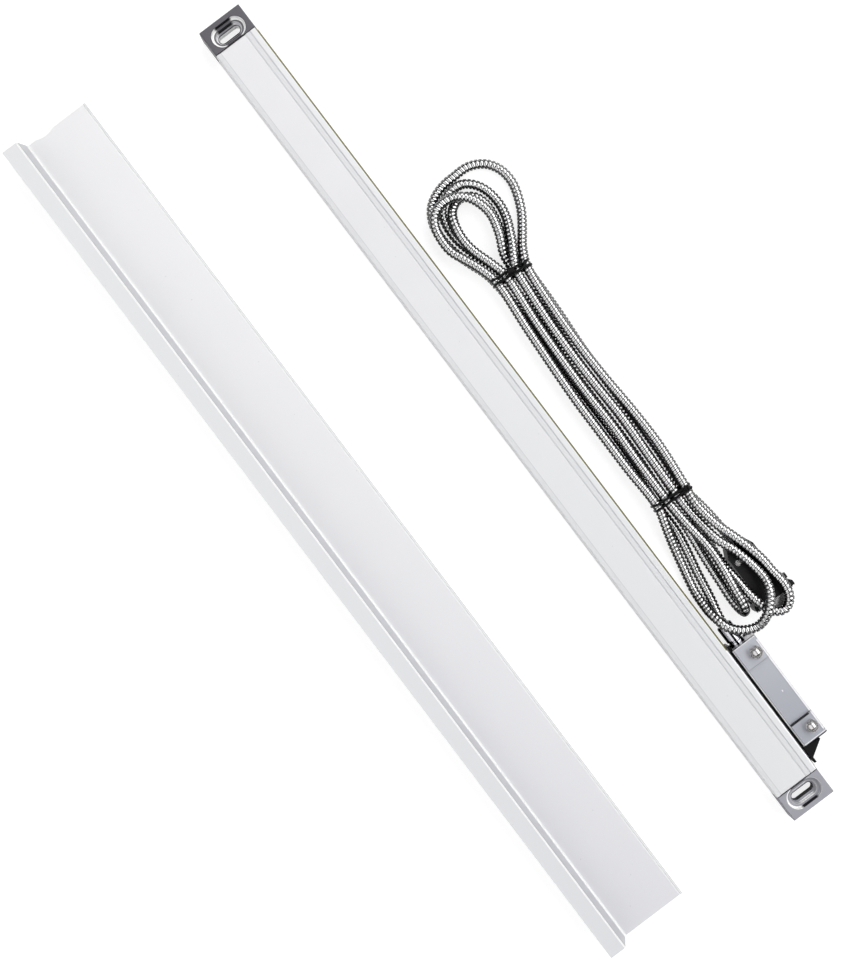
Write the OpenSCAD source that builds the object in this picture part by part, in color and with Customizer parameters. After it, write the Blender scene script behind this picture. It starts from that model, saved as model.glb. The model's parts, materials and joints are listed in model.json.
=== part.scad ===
// Linear glass scale for a machine tool, with its reading head, armoured cable and dust cover.
// X runs along the scale, +Y is the side on which the reading head runs, +Z is up.
// The origin lies on the housing's flat underside, midway between the two mounting slots.

/* [Scale housing] */
// Length that the reading head can measure
travel = 500; // [300:10:700]
// Housing length beyond the travel, for the carriage and the seals
overrun = 105; // [104:1:140]
// Width of the housing across the scale
body_w = 32; // [31:0.5:34]
// Height of the housing
body_h = 20; // [20:0.5:24]
// Wall above and below the cavity
plate_t = 2; // [1.8:0.1:2.2]
// Wall at the two long sides
side_t = 2.2; // [2:0.1:2.4]
// Radius of the long outer edges
edge_r = 0.8; // [0.5:0.1:1]
// Depth of the shallow recess along the top
recess_d = 0.4; // [0.2:0.1:0.6]
// Height of the mouth that the blade passes through
mouth_h = 6.8; // [6:0.2:7.2]

/* [Glass] */
// Width of the glass strip
glass_w = 15; // [14:0.5:15.5]
// Thickness of the glass strip
glass_t = 4; // [3:0.5:4.5]
// Bedding between the glass and its groove
bedding_t = 0.4; // [0.3:0.1:0.5]
// Depth of the groove that holds the glass
groove_d = 3.5; // [3:0.1:3.8]

/* [End blocks] */
// Length of an end block along the scale
block_l = 18; // [17:0.5:24]
// Thickness of the end gaskets
gasket_t = 0.5; // [0.3:0.1:1]
// Width of the mounting slot
slot_w = 5.1; // [4.5:0.1:5.5]
// Length of the mounting slot, across the scale
slot_l = 16; // [13:0.5:17]
// Distance from the block's outer end to the slot's centre line
slot_inset = 10.5; // [10:0.1:11]
// Thread of the screws that hold the end blocks
block_screw_d = 3; // [2.5:0.1:3.2]

/* [Reading head] */
// Place of the head at rest, from the middle of the travel
head_x = 248; // [200:1:248]
// Length of the head body
head_l = 78.4; // [76:0.2:84]
// Width of the head body
head_w = 17.4; // [17:0.1:19]
// Top of the head's pads above the mounting plane
head_top = 20; // [19:0.1:22]
// Gap between the housing and the head body
head_gap = 3; // [2.8:0.1:3.4]
// Length of the raised pad at each end of the head
pad_l = 16.7; // [16:0.1:18]
// Height by which the pads stand above the lid
pad_step = 2.2; // [1.5:0.1:2.6]
// Distance between the two head bolts
bolt_pitch = 60; // [58:0.5:62]
// Thread of the head bolts
bolt_d = 5; // [4:0.5:5]
// Thickness of the blade
blade_t = 1.2; // [1:0.1:1.4]

/* [Scanning carriage] */
// Length of the carriage frame
carriage_l = 52; // [50:1:58]
// Outer diameter of a ball race
race_d = 5; // [4.6:0.1:5]
// Width of a ball race
race_w = 2.5; // [2:0.1:2.6]
// Diameter of a race's axle
axle_d = 2; // [1.6:0.1:2.2]

/* [Armoured cable] */
// Diameter of the armoured cable
cable_d = 7; // [6:0.5:7]
// Diameter of the ferrule at the head
ferrule_d = 11; // [9:0.5:11]

/* [Plug] */
// Thickness of the plug's hood
hood_h = 15; // [14.6:0.2:16]
// Distance between the plug's two thumbscrews
thumb_pitch = 25; // [24.6:0.1:26]

/* [Dust cover] */
// Length of the dust cover
cover_l = 655.5; // [400:0.5:900]
// Width of the cover's plate
cover_plate_w = 48; // [40:1:80]
// Height of the cover's web
cover_h = 22; // [15:0.5:40]
// Width of the cover's mounting flange
cover_flange_w = 11.5; // [10:0.5:20]
// Thickness of the cover's sheet
cover_t = 1.5; // [1:0.1:2]

/* [Hidden] */
$fn = 48;

// colours of the finishes
silver = [0.91, 0.91, 0.93];
pale = [0.66, 0.67, 0.7];
dark_cast = [0.41, 0.4, 0.42];
satin = [0.7, 0.71, 0.75];
black = [0.06, 0.06, 0.07];
steel = [0.78, 0.78, 0.8];
olive = [0.42, 0.4, 0.17];
board_green = [0.1, 0.35, 0.2];

// clearances
fit = 0.05;        // between pieces that are assembled together
run = 0.03;        // radial, for a shaft that turns in a bore
lip_gap = 0.1;     // between a seal's lip and the blade
roll_gap = 0.05;   // between a race and the glass

// housing
body_l = travel + overrun;
half_l = body_l / 2;
half_w = body_w / 2;
mid_z = body_h / 2;
in_y = half_w - side_t;
screw_y = in_y - 2.2;
screw_z = plate_t + 3;
channel_r = 2.2;
channel_wall_d = block_screw_d + fit;
ledge_t = 1.6;
recess_y0 = -half_w + 2.6;
recess_y1 = half_w - 8.3;
line_y = half_w - 5.1;
line_w = 0.4;

// glass and its groove
glass_y0 = -in_y + 0.2;
glass_y1 = glass_y0 + glass_w;
glass_end_gap = 3.5;
glass_l = body_l - 2 * glass_end_gap;
bed_z0 = mid_z - glass_t / 2 - bedding_t;
bed_h = glass_t + 2 * bedding_t;

// lip seals, in grooves in the edges of the mouth
seal_groove_y = half_w - 1.5;
seal_groove_w = 0.9;
seal_groove_d = 1.2;
lip_out = 1.05;
lip_tip_z = blade_t / 2 + lip_gap;

// end blocks
block_x0 = half_l + gasket_t;
block_x1 = block_x0 + block_l;
slot_x = block_x1 - slot_inset;
tongue_y = in_y - 5.3;
tongue_l = glass_end_gap - 0.5 + gasket_t;
tongue_z0 = plate_t + 0.7;
tongue_h = 4.4;
ring_w = slot_w + 8.9;
ring_l = slot_l + 8.4;
ring_d = 3;
step_w = slot_w + 4.5;
step_l = slot_l + 3.2;
web_t = 6;
screw_head_d = 5.5;
screw_head_h = 2.4;
screw_sink = 3;
screw_l = 22;

// reading head
head_x0 = head_x - head_l / 2;
head_x1 = head_x + head_l / 2;
head_y0 = half_w + head_gap;
head_y1 = head_y0 + head_w;
head_z0 = 4;
foot_z0 = 1;
strip_t = 1.5;
strip_y0 = head_y0 - strip_t;
strip_x0 = head_x0 - 3.8;
strip_x1 = head_x1 + 12.6;
strip_z0 = 3;
strip_z1 = 17;
lid_top = head_top - pad_step;
lid_t = 1.5;
lid_gasket_t = 0.5;
lid_end_gap = 0.1;
cavity_top = lid_top - lid_t - lid_gasket_t;
cavity_wall = 2.5;
cavity_z0 = 6.5;
bolt_y = head_y0 + 11;
bolt_head_d = 8.5;
bolt_head_h = 5;
bolt_sink = 5.4;
nut_h = 4;
nut_flats = 1.6 * bolt_d;
bolt_end = 2;
foot_screw_y = head_y0 + 2.9;
foot_screw_pitch = head_l - 12.4;
foot_screw_d = 3;
foot_screw_l = 10;

// blade, through the mouth into the housing
blade_x0 = head_x0 + 1.5;
blade_x1 = head_x1 + 10.6;
blade_y0 = in_y - 4.1;
blade_y1 = strip_y0 + 0.9;
blade_bow = 6;
ribbon_w = 4;
ribbon_t = 0.3;
ribbon_z = mid_z + 0.1;

// scanning carriage
race_r = race_d / 2;
arm_z1 = body_h - plate_t - 1;
arm_z0 = arm_z1 - 3.8;
low_z0 = plate_t + 1;
low_z1 = low_z0 + 3.6;
frame_y0 = -in_y + 4.8;
frame_y1 = in_y - 4.7;
web_y0 = frame_y1 - 1.8;
top_race_z = mid_z + glass_t / 2 + race_r + roll_gap;
top_race_y = frame_y0 + 3;
mid_race_y = glass_y1 - 2.4;
edge_race_y = glass_y1 + race_r + roll_gap;
top_race_dx = 21;
mid_race_dx = 7;
edge_race_dx = 15;
optic_x = head_x - 6;
optic_y = -5;
optic_d = 5;
wire_d = 1;
wire_x0 = head_x - top_race_dx + 0.5;
wire_x1 = head_x + edge_race_dx - 3.5;
wire_y = frame_y1 + 1;
wire_z = mid_z + 1.5;
lug_l = 3;
grating_t = 0.9;
board_t = 0.6;
board_half_l = 8;

// cable ferrule and the route of the cable
ferrule_y = head_y0 + 6.2;
ferrule_z = 9.7;
ferrule_l = 15.8;
ferrule_x0 = head_x0 - ferrule_l;
core_d = 3.4;

// plug: lies on the surface under the lower loops, mating end towards +X
plug_y = 62.6;
plug_x0 = 155;
hood_l = 44;
hood_w = 19.6;
hood_end_w = 14;
waist_w = 18;
ear_l = 5;
ear_w = thumb_pitch + 6;
ear_corner = 2;
hood_wall = 1.5;
plug_z = hood_h / 2;
plug_x1 = plug_x0 + hood_l;
flange_t = 1;
flange_h = 12.5;
shell_l = 6;
shell_w = 16.9;
shell_h = 8.4;
knob_d = 6;
knob_l = 3.5;
thumb_d = 3;
thumb_x1 = plug_x1 + flange_t + 1;
collar_l = 6;
collar_d = 10;

// hank: outline of the folded cable, with its two ties
hank_z0 = 0.2;
hank_z1 = 15.4;
over_z0 = hood_h + 0.3;
over_z1 = 29.6;
tie_w = 3.6;
tie_t = 1.3;
tie_x = [-75, 106];
tie_y = [53, 48.5];
tie_half_w = 15.4;
tie_z0 = 0.05;
tie_z1 = hank_z1 + tie_t;

// each row is a round at either end and the flat sides between them
bundle_lobes = [
    [[-119.5, 57.5], 33, [-78, 53], 14.6],
    [[-78, 53], 14.4, [15, 51.5], 18.5],
    [[15, 51.5], 18.5, [106, 48.5], 14.4],
    [[106, 48.5], 14.4, [128, 47], 14],
    [[124, 42], 9, [180, 27], 8.5],
    [[124, 42], 5, [193, 41], 3.8]
];
over_lobes = [
    [[122, 48], 14, [186, 46], 23],
    [[122, 52], 10, [196, 62], 12.5]
];

// the cable from the ferrule to the hank, and from the hank to the plug
lead_route = [
    [193, 25.2, 9.7], [186, 26.2, 9], [176, 29, 6], [166, 31, 4.2], [154, 33, 3.6]
];
tail_route = [
    [109, 59, 5], [118, 60.5, 5], [128, 61.8, 5.8], [139, 62.6, 6.8], [149, 62.6, 7.5]
];

// dust cover: lies on its plate beside the housing
cover_x0 = -335.7;
cover_y = -103;
cover_lean = 3.7;

// ---------- helpers ----------

// extrudes a section drawn as (Y, Z) along X
module along_x(x0, len) {
    translate([x0, 0, 0])
        rotate([90, 0, 90])
            linear_extrude(len)
                children();
}

// extrudes a section drawn as (X, Z) along Y, from y0
module along_y(y0, len) {
    translate([0, y0 + len, 0])
        rotate([90, 0, 0])
            linear_extrude(len)
                children();
}

module round_rect(y0, y1, z0, z1, r) {
    translate([y0 + r, z0]) square([y1 - y0 - 2 * r, z1 - z0]);
    translate([y0, z0 + r]) square([y1 - y0, z1 - z0 - 2 * r]);
    for (y = [y0 + r, y1 - r], z = [z0 + r, z1 - r])
        translate([y, z]) circle(r);
}

// flat bar between two corners
module bar(p0, p1) {
    translate(p0) cube(p1 - p0);
}

// oblong hole, long across the scale
module oblong(l, w, h) {
    straight = l - w;
    translate([-w / 2, -straight / 2, 0]) cube([w, straight, h]);
    for (s = [-1, 1])
        translate([0, s * straight / 2, 0]) cylinder(d = w, h = h);
}

module rod_x(x0, x1, y, z, d) {
    translate([x0, y, z]) rotate([0, 90, 0]) cylinder(d = d, h = x1 - x0);
}

module rod_y(y0, y1, x, z, d) {
    translate([x, y0, z]) rotate([-90, 0, 0]) cylinder(d = d, h = y1 - y0);
}

module hexagon(flats, h) {
    cylinder(d = flats / cos(30), h = h, $fn = 6);
}

// ---------- scale housing ----------

module housing_outline() {
    difference() {
        round_rect(-half_w, half_w, 0, body_h, edge_r);
        translate([recess_y0, body_h - recess_d]) square([recess_y1 - recess_y0, 1 + recess_d]);
        translate([line_y, body_h - recess_d]) square([line_w, 1 + recess_d]);
        translate([-half_w - 1, mid_z - 2]) square([1.4, 4]);
    }
}

module housing_cavity() {
    difference() {
        translate([-in_y, plate_t]) square([2 * in_y, body_h - 2 * plate_t]);
        for (z = [bed_z0 - ledge_t, bed_z0 + bed_h])
            translate([-in_y - 1, z]) square([groove_d + 1, ledge_t]);
        for (sy = [-1, 1], top = [0, 1])
            screw_channel(sy, top);
    }
}

// round channel for a screw, in a corner of the cavity
module screw_channel(sy, top) {
    cz = top ? body_h - screw_z : screw_z;
    translate([sy * screw_y, cz]) circle(channel_r);
    translate([sy > 0 ? screw_y : -in_y - 1, top ? cz : plate_t - 1])
        square([channel_r + 1, screw_z - plate_t + 1]);
}

module screw_places() {
    for (sy = [-1, 1], z = [screw_z, body_h - screw_z])
        translate([sy * screw_y, z]) children();
}

module mouth() {
    translate([in_y - 1, mid_z - mouth_h / 2]) square([side_t + 2, mouth_h]);
    translate([seal_groove_y, mid_z - mouth_h / 2 - seal_groove_d])
        square([seal_groove_w, mouth_h + 2 * seal_groove_d]);
}

module housing() {
    color(silver)
        along_x(-half_l, body_l)
            difference() {
                housing_outline();
                housing_cavity();
                mouth();
                screw_places() circle(d = channel_wall_d);
            }
}

module glass_scale() {
    color([0.75, 0.85, 0.82, 0.6])
        bar([-glass_l / 2, glass_y0, mid_z - glass_t / 2],
            [glass_l / 2, glass_y1, mid_z + glass_t / 2]);
}

module glass_bedding() {
    color([0.85, 0.85, 0.8])
        difference() {
            bar([-glass_l / 2, -in_y, bed_z0], [glass_l / 2, -in_y + groove_d, bed_z0 + bed_h]);
            bar([-glass_l, glass_y0, mid_z - glass_t / 2], [glass_l, glass_y1, mid_z + glass_t / 2]);
        }
}

// one lip, drawn for the lower seal, measured from the middle of the mouth
module lip_section() {
    y0 = seal_groove_y + fit;
    y1 = seal_groove_y + seal_groove_w - fit;
    z0 = -mouth_h / 2 - seal_groove_d + fit;
    z1 = -mouth_h / 2;
    tip = half_w + lip_out;
    polygon([
        [y0, z0], [y1, z0], [y1, z1], [tip, -lip_tip_z - 0.3], [tip, -lip_tip_z],
        [tip - 0.35, -lip_tip_z], [y0, z1]
    ]);
}

module lip_seal_upper() {
    color(olive)
        along_x(-half_l, body_l)
            translate([0, mid_z]) mirror([0, 1]) lip_section();
}

module lip_seal_lower() {
    color(olive)
        along_x(-half_l, body_l)
            translate([0, mid_z]) lip_section();
}

// ---------- end blocks ----------

// block at the +X end
module end_block() {
    difference() {
        union() {
            along_x(block_x0, block_l) round_rect(-half_w, half_w, 0, body_h, edge_r);
            for (z0 = [tongue_z0, body_h - tongue_z0 - tongue_h])
                bar([block_x0 - tongue_l, -tongue_y, z0],
                    [block_x0 + 1, tongue_y, z0 + tongue_h]);
        }
        translate([slot_x, 0, -1]) oblong(slot_l, slot_w, body_h + 2);
        for (z = [mid_z + web_t / 2, mid_z - web_t / 2 - body_h])
            translate([slot_x, 0, z]) oblong(step_l, step_w, body_h);
        for (z = [body_h - ring_d, ring_d - body_h])
            translate([slot_x, 0, z]) oblong(ring_l, ring_w, body_h);
        for (sy = [-1, 1], z = [screw_z, body_h - screw_z]) {
            rod_x(block_x0 - 1, block_x1 + 1, sy * screw_y, z, block_screw_d + 0.3);
            rod_x(block_x1 - screw_sink, block_x1 + 1, sy * screw_y, z, screw_head_d + 0.3);
        }
    }
}

module end_block_left() {
    color(dark_cast) mirror([1, 0, 0]) end_block();
}

module end_block_right() {
    color(pale) end_block();
}

module end_gasket() {
    color(black)
        along_x(half_l, gasket_t)
            difference() {
                round_rect(-half_w, half_w, 0, body_h, edge_r);
                translate([-tongue_y - 0.5, tongue_z0 - 0.3])
                    square([2 * tongue_y + 1, body_h - 2 * tongue_z0 + 0.6]);
                screw_places() circle(d = block_screw_d + 0.3);
            }
}

module end_gasket_left() {
    mirror([1, 0, 0]) end_gasket();
}

module end_gasket_right() {
    end_gasket();
}

module end_block_screws() {
    color(steel)
        for (mx = [0, 1], sy = [-1, 1], z = [screw_z, body_h - screw_z])
            mirror([mx, 0, 0]) {
                head_x_in = block_x1 - screw_sink;
                rod_x(head_x_in - screw_l, head_x_in + 0.5, sy * screw_y, z, block_screw_d);
                difference() {
                    rod_x(head_x_in, head_x_in + screw_head_h, sy * screw_y, z, screw_head_d);
                    translate([head_x_in + screw_head_h - 1.2, sy * screw_y, z])
                        rotate([0, 90, 0]) hexagon(2.5, 2);
                }
            }
}

// ---------- dust cover ----------

module dust_cover() {
    y1 = cover_y - cover_plate_w;
    top = cover_h;
    edge = y1 - cover_lean;
    notch_r = 14.4;
    notch_d = 1.6;
    color(silver)
        difference() {
            along_x(cover_x0, cover_l)
                polygon([
                    [cover_y, 0], [cover_y, cover_t + 0.9], [cover_y - 1, cover_t + 0.9],
                    [cover_y - 1.6, cover_t], [y1 + 0.8, cover_t], [edge + 1.4, top],
                    [edge + 1.4 - cover_flange_w, top], [edge + 1.4 - cover_flange_w, top - cover_t],
                    [edge, top - cover_t], [y1 - 0.6, 0]
                ]);
            translate([cover_x0 - notch_r + notch_d, cover_y - cover_plate_w * 0.7, -1])
                cylinder(r = notch_r, h = cover_t + 2);
        }
}

// ---------- reading head ----------

module foot_plan() {
    polygon([
        [head_x1 - 0.1, head_y0], [head_x1 + 2, head_y0 + 11], [head_x1 + 9, head_y0]
    ]);
}

module head_foot() {
    color(black)
        difference() {
            union() {
                bar([head_x0 - 0.8, head_y0, foot_z0], [head_x1 + 1.9, head_y1, head_z0]);
                bar([strip_x0, strip_y0, strip_z0], [strip_x1, head_y0, strip_z1]);
                translate([0, 0, foot_z0]) linear_extrude(strip_z1 - foot_z0)
                    difference() {
                        foot_plan();
                        translate([head_x0, head_y0 - 1]) square([head_l, head_w + 2]);
                    }
                bar([head_x0 - 0.8, strip_y0, foot_z0], [head_x1 + 1.9, head_y0 + 1, strip_z0]);
            }
            blade_solid();
            bar([head_x - ribbon_w / 2 - 0.1, strip_y0 - 1, mid_z],
                [head_x + ribbon_w / 2 + 0.1, head_y0 + 1, mid_z + 0.8]);
            for (s = [-1, 1]) {
                translate([head_x + s * bolt_pitch / 2, bolt_y, 0])
                    cylinder(d = bolt_head_d + 0.5, h = head_z0 + 1);
                translate([head_x + s * foot_screw_pitch / 2, foot_screw_y, 0]) {
                    cylinder(d = foot_screw_d + 0.2, h = head_z0 + 1);
                    cylinder(d = 2 * foot_screw_d, h = foot_z0 + 1.8);
                }
            }
        }
}

module foot_screws() {
    color(steel)
        for (s = [-1, 1])
            translate([head_x + s * foot_screw_pitch / 2, foot_screw_y, foot_z0 + 0.2]) {
                cylinder(d = foot_screw_d, h = foot_screw_l);
                difference() {
                    cylinder(d = 5.5, h = 1.6);
                    translate([0, 0, -1]) hexagon(2, 2);
                }
            }
}

// plate through the mouth, with pointed ends that part the lips
module blade_solid() {
    along_y(blade_y0, blade_y1 - blade_y0)
        polygon([
            [blade_x0, mid_z], [blade_x0 + blade_bow, mid_z + blade_t / 2],
            [blade_x1 - blade_bow, mid_z + blade_t / 2], [blade_x1, mid_z],
            [blade_x1 - blade_bow, mid_z - blade_t / 2], [blade_x0 + blade_bow, mid_z - blade_t / 2]
        ]);
}

module blade() {
    lug_x = head_x + 8;
    color(steel)
        difference() {
            union() {
                blade_solid();
                bar([lug_x, blade_y0, mid_z], [lug_x + lug_l, blade_y0 + 1.8, wire_z + 0.9]);
            }
            rod_x(lug_x - 1, lug_x + lug_l + 1, wire_y, wire_z, wire_d + fit);
            bar([head_x - ribbon_w / 2 - 0.1, blade_y0 - 1, ribbon_z - fit],
                [head_x + ribbon_w / 2 + 0.1, blade_y1 + 1, mid_z + blade_t]);
        }
}

module head_section() {
    bevel = 1.2;
    polygon([
        [head_y0, head_z0], [head_y1, head_z0], [head_y1, head_top - bevel],
        [head_y1 - bevel, head_top], [head_y0, head_top]
    ]);
}

module head_body() {
    mid_x0 = head_x0 + pad_l;
    mid_x1 = head_x1 - pad_l;
    color(satin)
        difference() {
            along_x(head_x0, head_l) head_section();
            bar([mid_x0, head_y0 - 1, cavity_top], [mid_x1, head_y1 + 1, head_top + 1]);
            bar([mid_x0 + 2, head_y0 + cavity_wall, cavity_z0],
                [mid_x1 - 2, head_y1 - cavity_wall, head_top]);
            for (s = [-1, 1]) {
                translate([head_x + s * bolt_pitch / 2, bolt_y, 0]) {
                    cylinder(d = bolt_d + 0.3, h = head_top + 1);
                    cylinder(d = bolt_head_d + 0.5, h = foot_z0 + bolt_sink);
                }
                translate([head_x + s * foot_screw_pitch / 2, foot_screw_y, 0])
                    cylinder(d = foot_screw_d + fit, h = foot_z0 + 12);
            }
            rod_x(head_x0 - 1, head_x0 + 4, ferrule_y, ferrule_z, core_d + 3.1);
            rod_x(head_x0 - 1, mid_x0 + 3, ferrule_y, ferrule_z, core_d + 0.2);
            bar([head_x - ribbon_w / 2 - 0.1, head_y0 - 1, mid_z],
                [head_x + ribbon_w / 2 + 0.1, head_y0 + cavity_wall + 1, mid_z + 0.8]);
        }
}

module head_lid() {
    bevel = 0.6;
    color(satin)
        along_x(head_x0 + pad_l + lid_end_gap, head_l - 2 * pad_l - 2 * lid_end_gap)
            polygon([
                [head_y0, lid_top - lid_t], [head_y1, lid_top - lid_t],
                [head_y1, lid_top - bevel], [head_y1 - bevel, lid_top], [head_y0, lid_top]
            ]);
}

module head_gasket() {
    x0 = head_x0 + pad_l + lid_end_gap;
    x1 = head_x1 - pad_l - lid_end_gap;
    color(black)
        difference() {
            bar([x0, head_y0, cavity_top], [x1, head_y1, lid_top - lid_t]);
            bar([x0 + 2, head_y0 + cavity_wall, 0], [x1 - 2, head_y1 - cavity_wall, head_top]);
        }
}

module head_board() {
    y0 = head_y0 + cavity_wall + 0.4;
    y1 = head_y1 - cavity_wall - 0.4;
    z0 = cavity_z0 + 1;
    x0 = head_x0 + pad_l + 4;
    x1 = head_x1 - pad_l - 3;
    color(board_green)
        difference() {
            union() {
                bar([x0, y0, z0], [x1, y1, z0 + 1.2]);
                for (x = [x0 + 2, x1 - 4], y = [y0 + 1, y1 - 3])
                    bar([x, y, cavity_z0], [x + 2, y + 2, z0 + 0.5]);
                bar([head_x - 3, y0, z0 + 1], [head_x + 3, y0 + 2.6, ribbon_z - fit]);
                bar([head_x + 6, y0 + 3, z0 + 1], [head_x + 14, y1 - 1, z0 + 2.8]);
                bar([head_x - 13, y0 + 3.5, z0 + 1], [head_x - 6, y1 - 1, z0 + 2.5]);
            }
            rod_x(head_x0, x0 + 6, ferrule_y, ferrule_z, core_d + 0.4);
        }
}

module head_bolts() {
    z0 = foot_z0 + 0.3;
    top = head_top + nut_h + bolt_end;
    color(steel)
        for (s = [-1, 1])
            translate([head_x + s * bolt_pitch / 2, bolt_y, 0]) {
                difference() {
                    translate([0, 0, z0]) cylinder(d = bolt_head_d, h = bolt_head_h);
                    hexagon(4, z0 + 2.5);
                }
                translate([0, 0, z0 + 3]) cylinder(d = bolt_d, h = top - 1 - z0 - 3);
                intersection() {
                    translate([0, 0, top - 1.2]) cylinder(d = bolt_d, h = 3);
                    translate([0, 0, top - 3.6]) sphere(d = 7.2);
                }
            }
}

module head_nuts() {
    color(steel)
        for (s = [-1, 1])
            translate([head_x + s * bolt_pitch / 2, bolt_y, head_top])
                difference() {
                    intersection() {
                        rotate([0, 0, 30]) hexagon(nut_flats, nut_h);
                        translate([0, 0, -0.01])
                            cylinder(d1 = nut_flats + 8, d2 = nut_flats * 0.98, h = nut_h + 0.01);
                    }
                    translate([0, 0, -1]) cylinder(d = bolt_d + 0.02, h = nut_h + 2);
                }
}

module cable_ferrule() {
    bore = cable_d + 0.4;
    color(steel)
        translate([ferrule_x0, ferrule_y, ferrule_z])
            rotate([0, 90, 0])
                rotate_extrude()
                    polygon([
                        [bore / 2, 0], [ferrule_d / 2 - 0.8, 0], [ferrule_d / 2, 0.8],
                        [ferrule_d / 2, ferrule_l - 4], [ferrule_d / 2 - 0.7, ferrule_l - 3.6],
                        [ferrule_d / 2 - 0.7, ferrule_l - 2.8], [ferrule_d / 2, ferrule_l - 2.4],
                        [ferrule_d / 2, ferrule_l], [core_d / 2 + 1.5, ferrule_l],
                        [core_d / 2 + 1.5, ferrule_l + 3.6], [core_d / 2 + 0.1, ferrule_l + 3.6],
                        [core_d / 2 + 0.1, ferrule_l - 8], [bore / 2, ferrule_l - 8]
                    ]);
}

module cable_core() {
    color(black)
        rod_x(head_x0 - 7.5, head_x0 + pad_l + 8, ferrule_y, ferrule_z, core_d);
}

module signal_ribbon() {
    color([0.75, 0.5, 0.2])
        bar([head_x - ribbon_w / 2, frame_y1, ribbon_z],
            [head_x + ribbon_w / 2, head_y0 + cavity_wall + 2.4, ribbon_z + ribbon_t]);
}

// ---------- scanning carriage ----------

module carriage_frame() {
    x0 = head_x - carriage_l / 2;
    x1 = head_x + carriage_l / 2;
    lug_x = head_x - 20;
    win = race_d + 1;
    color([0.2, 0.2, 0.22])
        difference() {
            union() {
                bar([x0, frame_y0, arm_z0], [x1, frame_y1, arm_z1]);
                bar([x0, frame_y0, low_z0], [x1, frame_y1, low_z1]);
                bar([x0, web_y0, low_z0], [x1, frame_y1, arm_z1]);
                bar([lug_x, frame_y1 - 0.5, mid_z + blade_t / 2 + 0.1],
                    [lug_x + lug_l, wire_y + 0.9, wire_z + 0.8]);
            }
            for (s = [-1, 1]) {
                race_window(head_x + s * top_race_dx, top_race_y, win);
                rod_y(top_race_y - 2.8, top_race_y + 2.8, head_x + s * top_race_dx, top_race_z,
                      axle_d + 0.02);
                translate([head_x + s * edge_race_dx, edge_race_y, low_z0 + 1])
                    cylinder(d = axle_d + 0.02, h = arm_z1 - low_z0 - 2);
            }
            race_window(head_x + mid_race_dx, mid_race_y, win);
            rod_y(mid_race_y - 2.8, mid_race_y + 2.8, head_x + mid_race_dx, top_race_z,
                  axle_d + 0.02);
            translate([optic_x, optic_y, arm_z0 - 1]) cylinder(d = optic_d, h = arm_z1);
            rod_x(lug_x - 1, lug_x + lug_l + 1, wire_y, wire_z, wire_d + fit);
        }
}

module race_window(x, y, l) {
    bar([x - l / 2, y - race_w / 2 - 0.3, arm_z0 - 1], [x + l / 2, y + race_w / 2 + 0.3, arm_z1 + 1]);
}

module race_axles() {
    color(steel) {
        for (p = [[-top_race_dx, top_race_y], [top_race_dx, top_race_y], [mid_race_dx, mid_race_y]])
            rod_y(p[1] - 2.7, p[1] + 2.7, head_x + p[0], top_race_z, axle_d);
        for (s = [-1, 1])
            translate([head_x + s * edge_race_dx, edge_race_y, low_z0 + 1.1])
                cylinder(d = axle_d, h = arm_z1 - low_z0 - 2.2);
    }
}

// one race: outer ring, two grooved side faces and its bore
module race() {
    color(steel)
        rotate_extrude()
            polygon([
                [axle_d / 2 + run, -race_w / 2], [race_r * 0.58, -race_w / 2],
                [race_r * 0.62, -race_w / 2 + 0.2], [race_r * 0.78, -race_w / 2 + 0.2],
                [race_r * 0.82, -race_w / 2], [race_r, -race_w / 2],
                [race_r, race_w / 2], [race_r * 0.82, race_w / 2],
                [race_r * 0.78, race_w / 2 - 0.2], [race_r * 0.62, race_w / 2 - 0.2],
                [race_r * 0.58, race_w / 2], [axle_d / 2 + run, race_w / 2]
            ]);
}

module top_race(dx, y) {
    translate([head_x + dx, y, top_race_z]) rotate([90, 0, 0]) race();
}

module edge_race(dx) {
    translate([head_x + dx, edge_race_y, mid_z]) race();
}

module race_top_left() { top_race(-top_race_dx, top_race_y); }
module race_top_right() { top_race(top_race_dx, top_race_y); }
module race_top_middle() { top_race(mid_race_dx, mid_race_y); }
module race_edge_left() { edge_race(-edge_race_dx); }
module race_edge_right() { edge_race(edge_race_dx); }

module coupling_wire() {
    color(steel) rod_x(wire_x0, wire_x1, wire_y, wire_z, wire_d);
}

module lamp_board() {
    color(board_green)
        bar([optic_x - board_half_l, frame_y0 + 0.5, arm_z1],
            [optic_x + board_half_l, optic_y + 4, arm_z1 + board_t]);
}

module lamp() {
    color([0.9, 0.85, 0.6])
        translate([optic_x, optic_y, arm_z1]) mirror([0, 0, 1]) {
            cylinder(d = 3.8, h = 0.6);
            cylinder(d = 3, h = 1.2);
            translate([0, 0, 1.2]) intersection() {
                sphere(d = 3);
                cylinder(d = 4, h = 2);
            }
        }
}

module condenser_lens() {
    color([0.8, 0.9, 0.95, 0.5])
        translate([optic_x, optic_y, arm_z0]) {
            cylinder(d = optic_d - 0.04, h = 0.4);
            intersection() {
                cylinder(d = optic_d - 0.04, h = 2);
                translate([0, 0, -2.4]) sphere(r = 3.3);
            }
        }
}

module index_grating() {
    color([0.75, 0.85, 0.82, 0.6])
        bar([optic_x - 6, optic_y - 4, arm_z0 - grating_t], [optic_x + 6, optic_y + 4, arm_z0]);
}

module photocell_board() {
    color(board_green)
        bar([optic_x - 8, optic_y - 3.8, low_z1], [optic_x + 8, optic_y + 5, low_z1 + board_t]);
}

module photocells() {
    color([0.15, 0.15, 0.3])
        for (i = [0:3])
            translate([optic_x - 5 + i * 2.6, optic_y - 1.5, low_z1 + board_t])
                cube([2.2, 3, 0.4]);
}

// ---------- armoured cable ----------

function unit(v) = v / norm(v);

// direction of the route at a point
function heading(path, i) =
    unit(path[min(i + 1, len(path) - 1)] - path[max(i - 1, 0)]);

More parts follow.
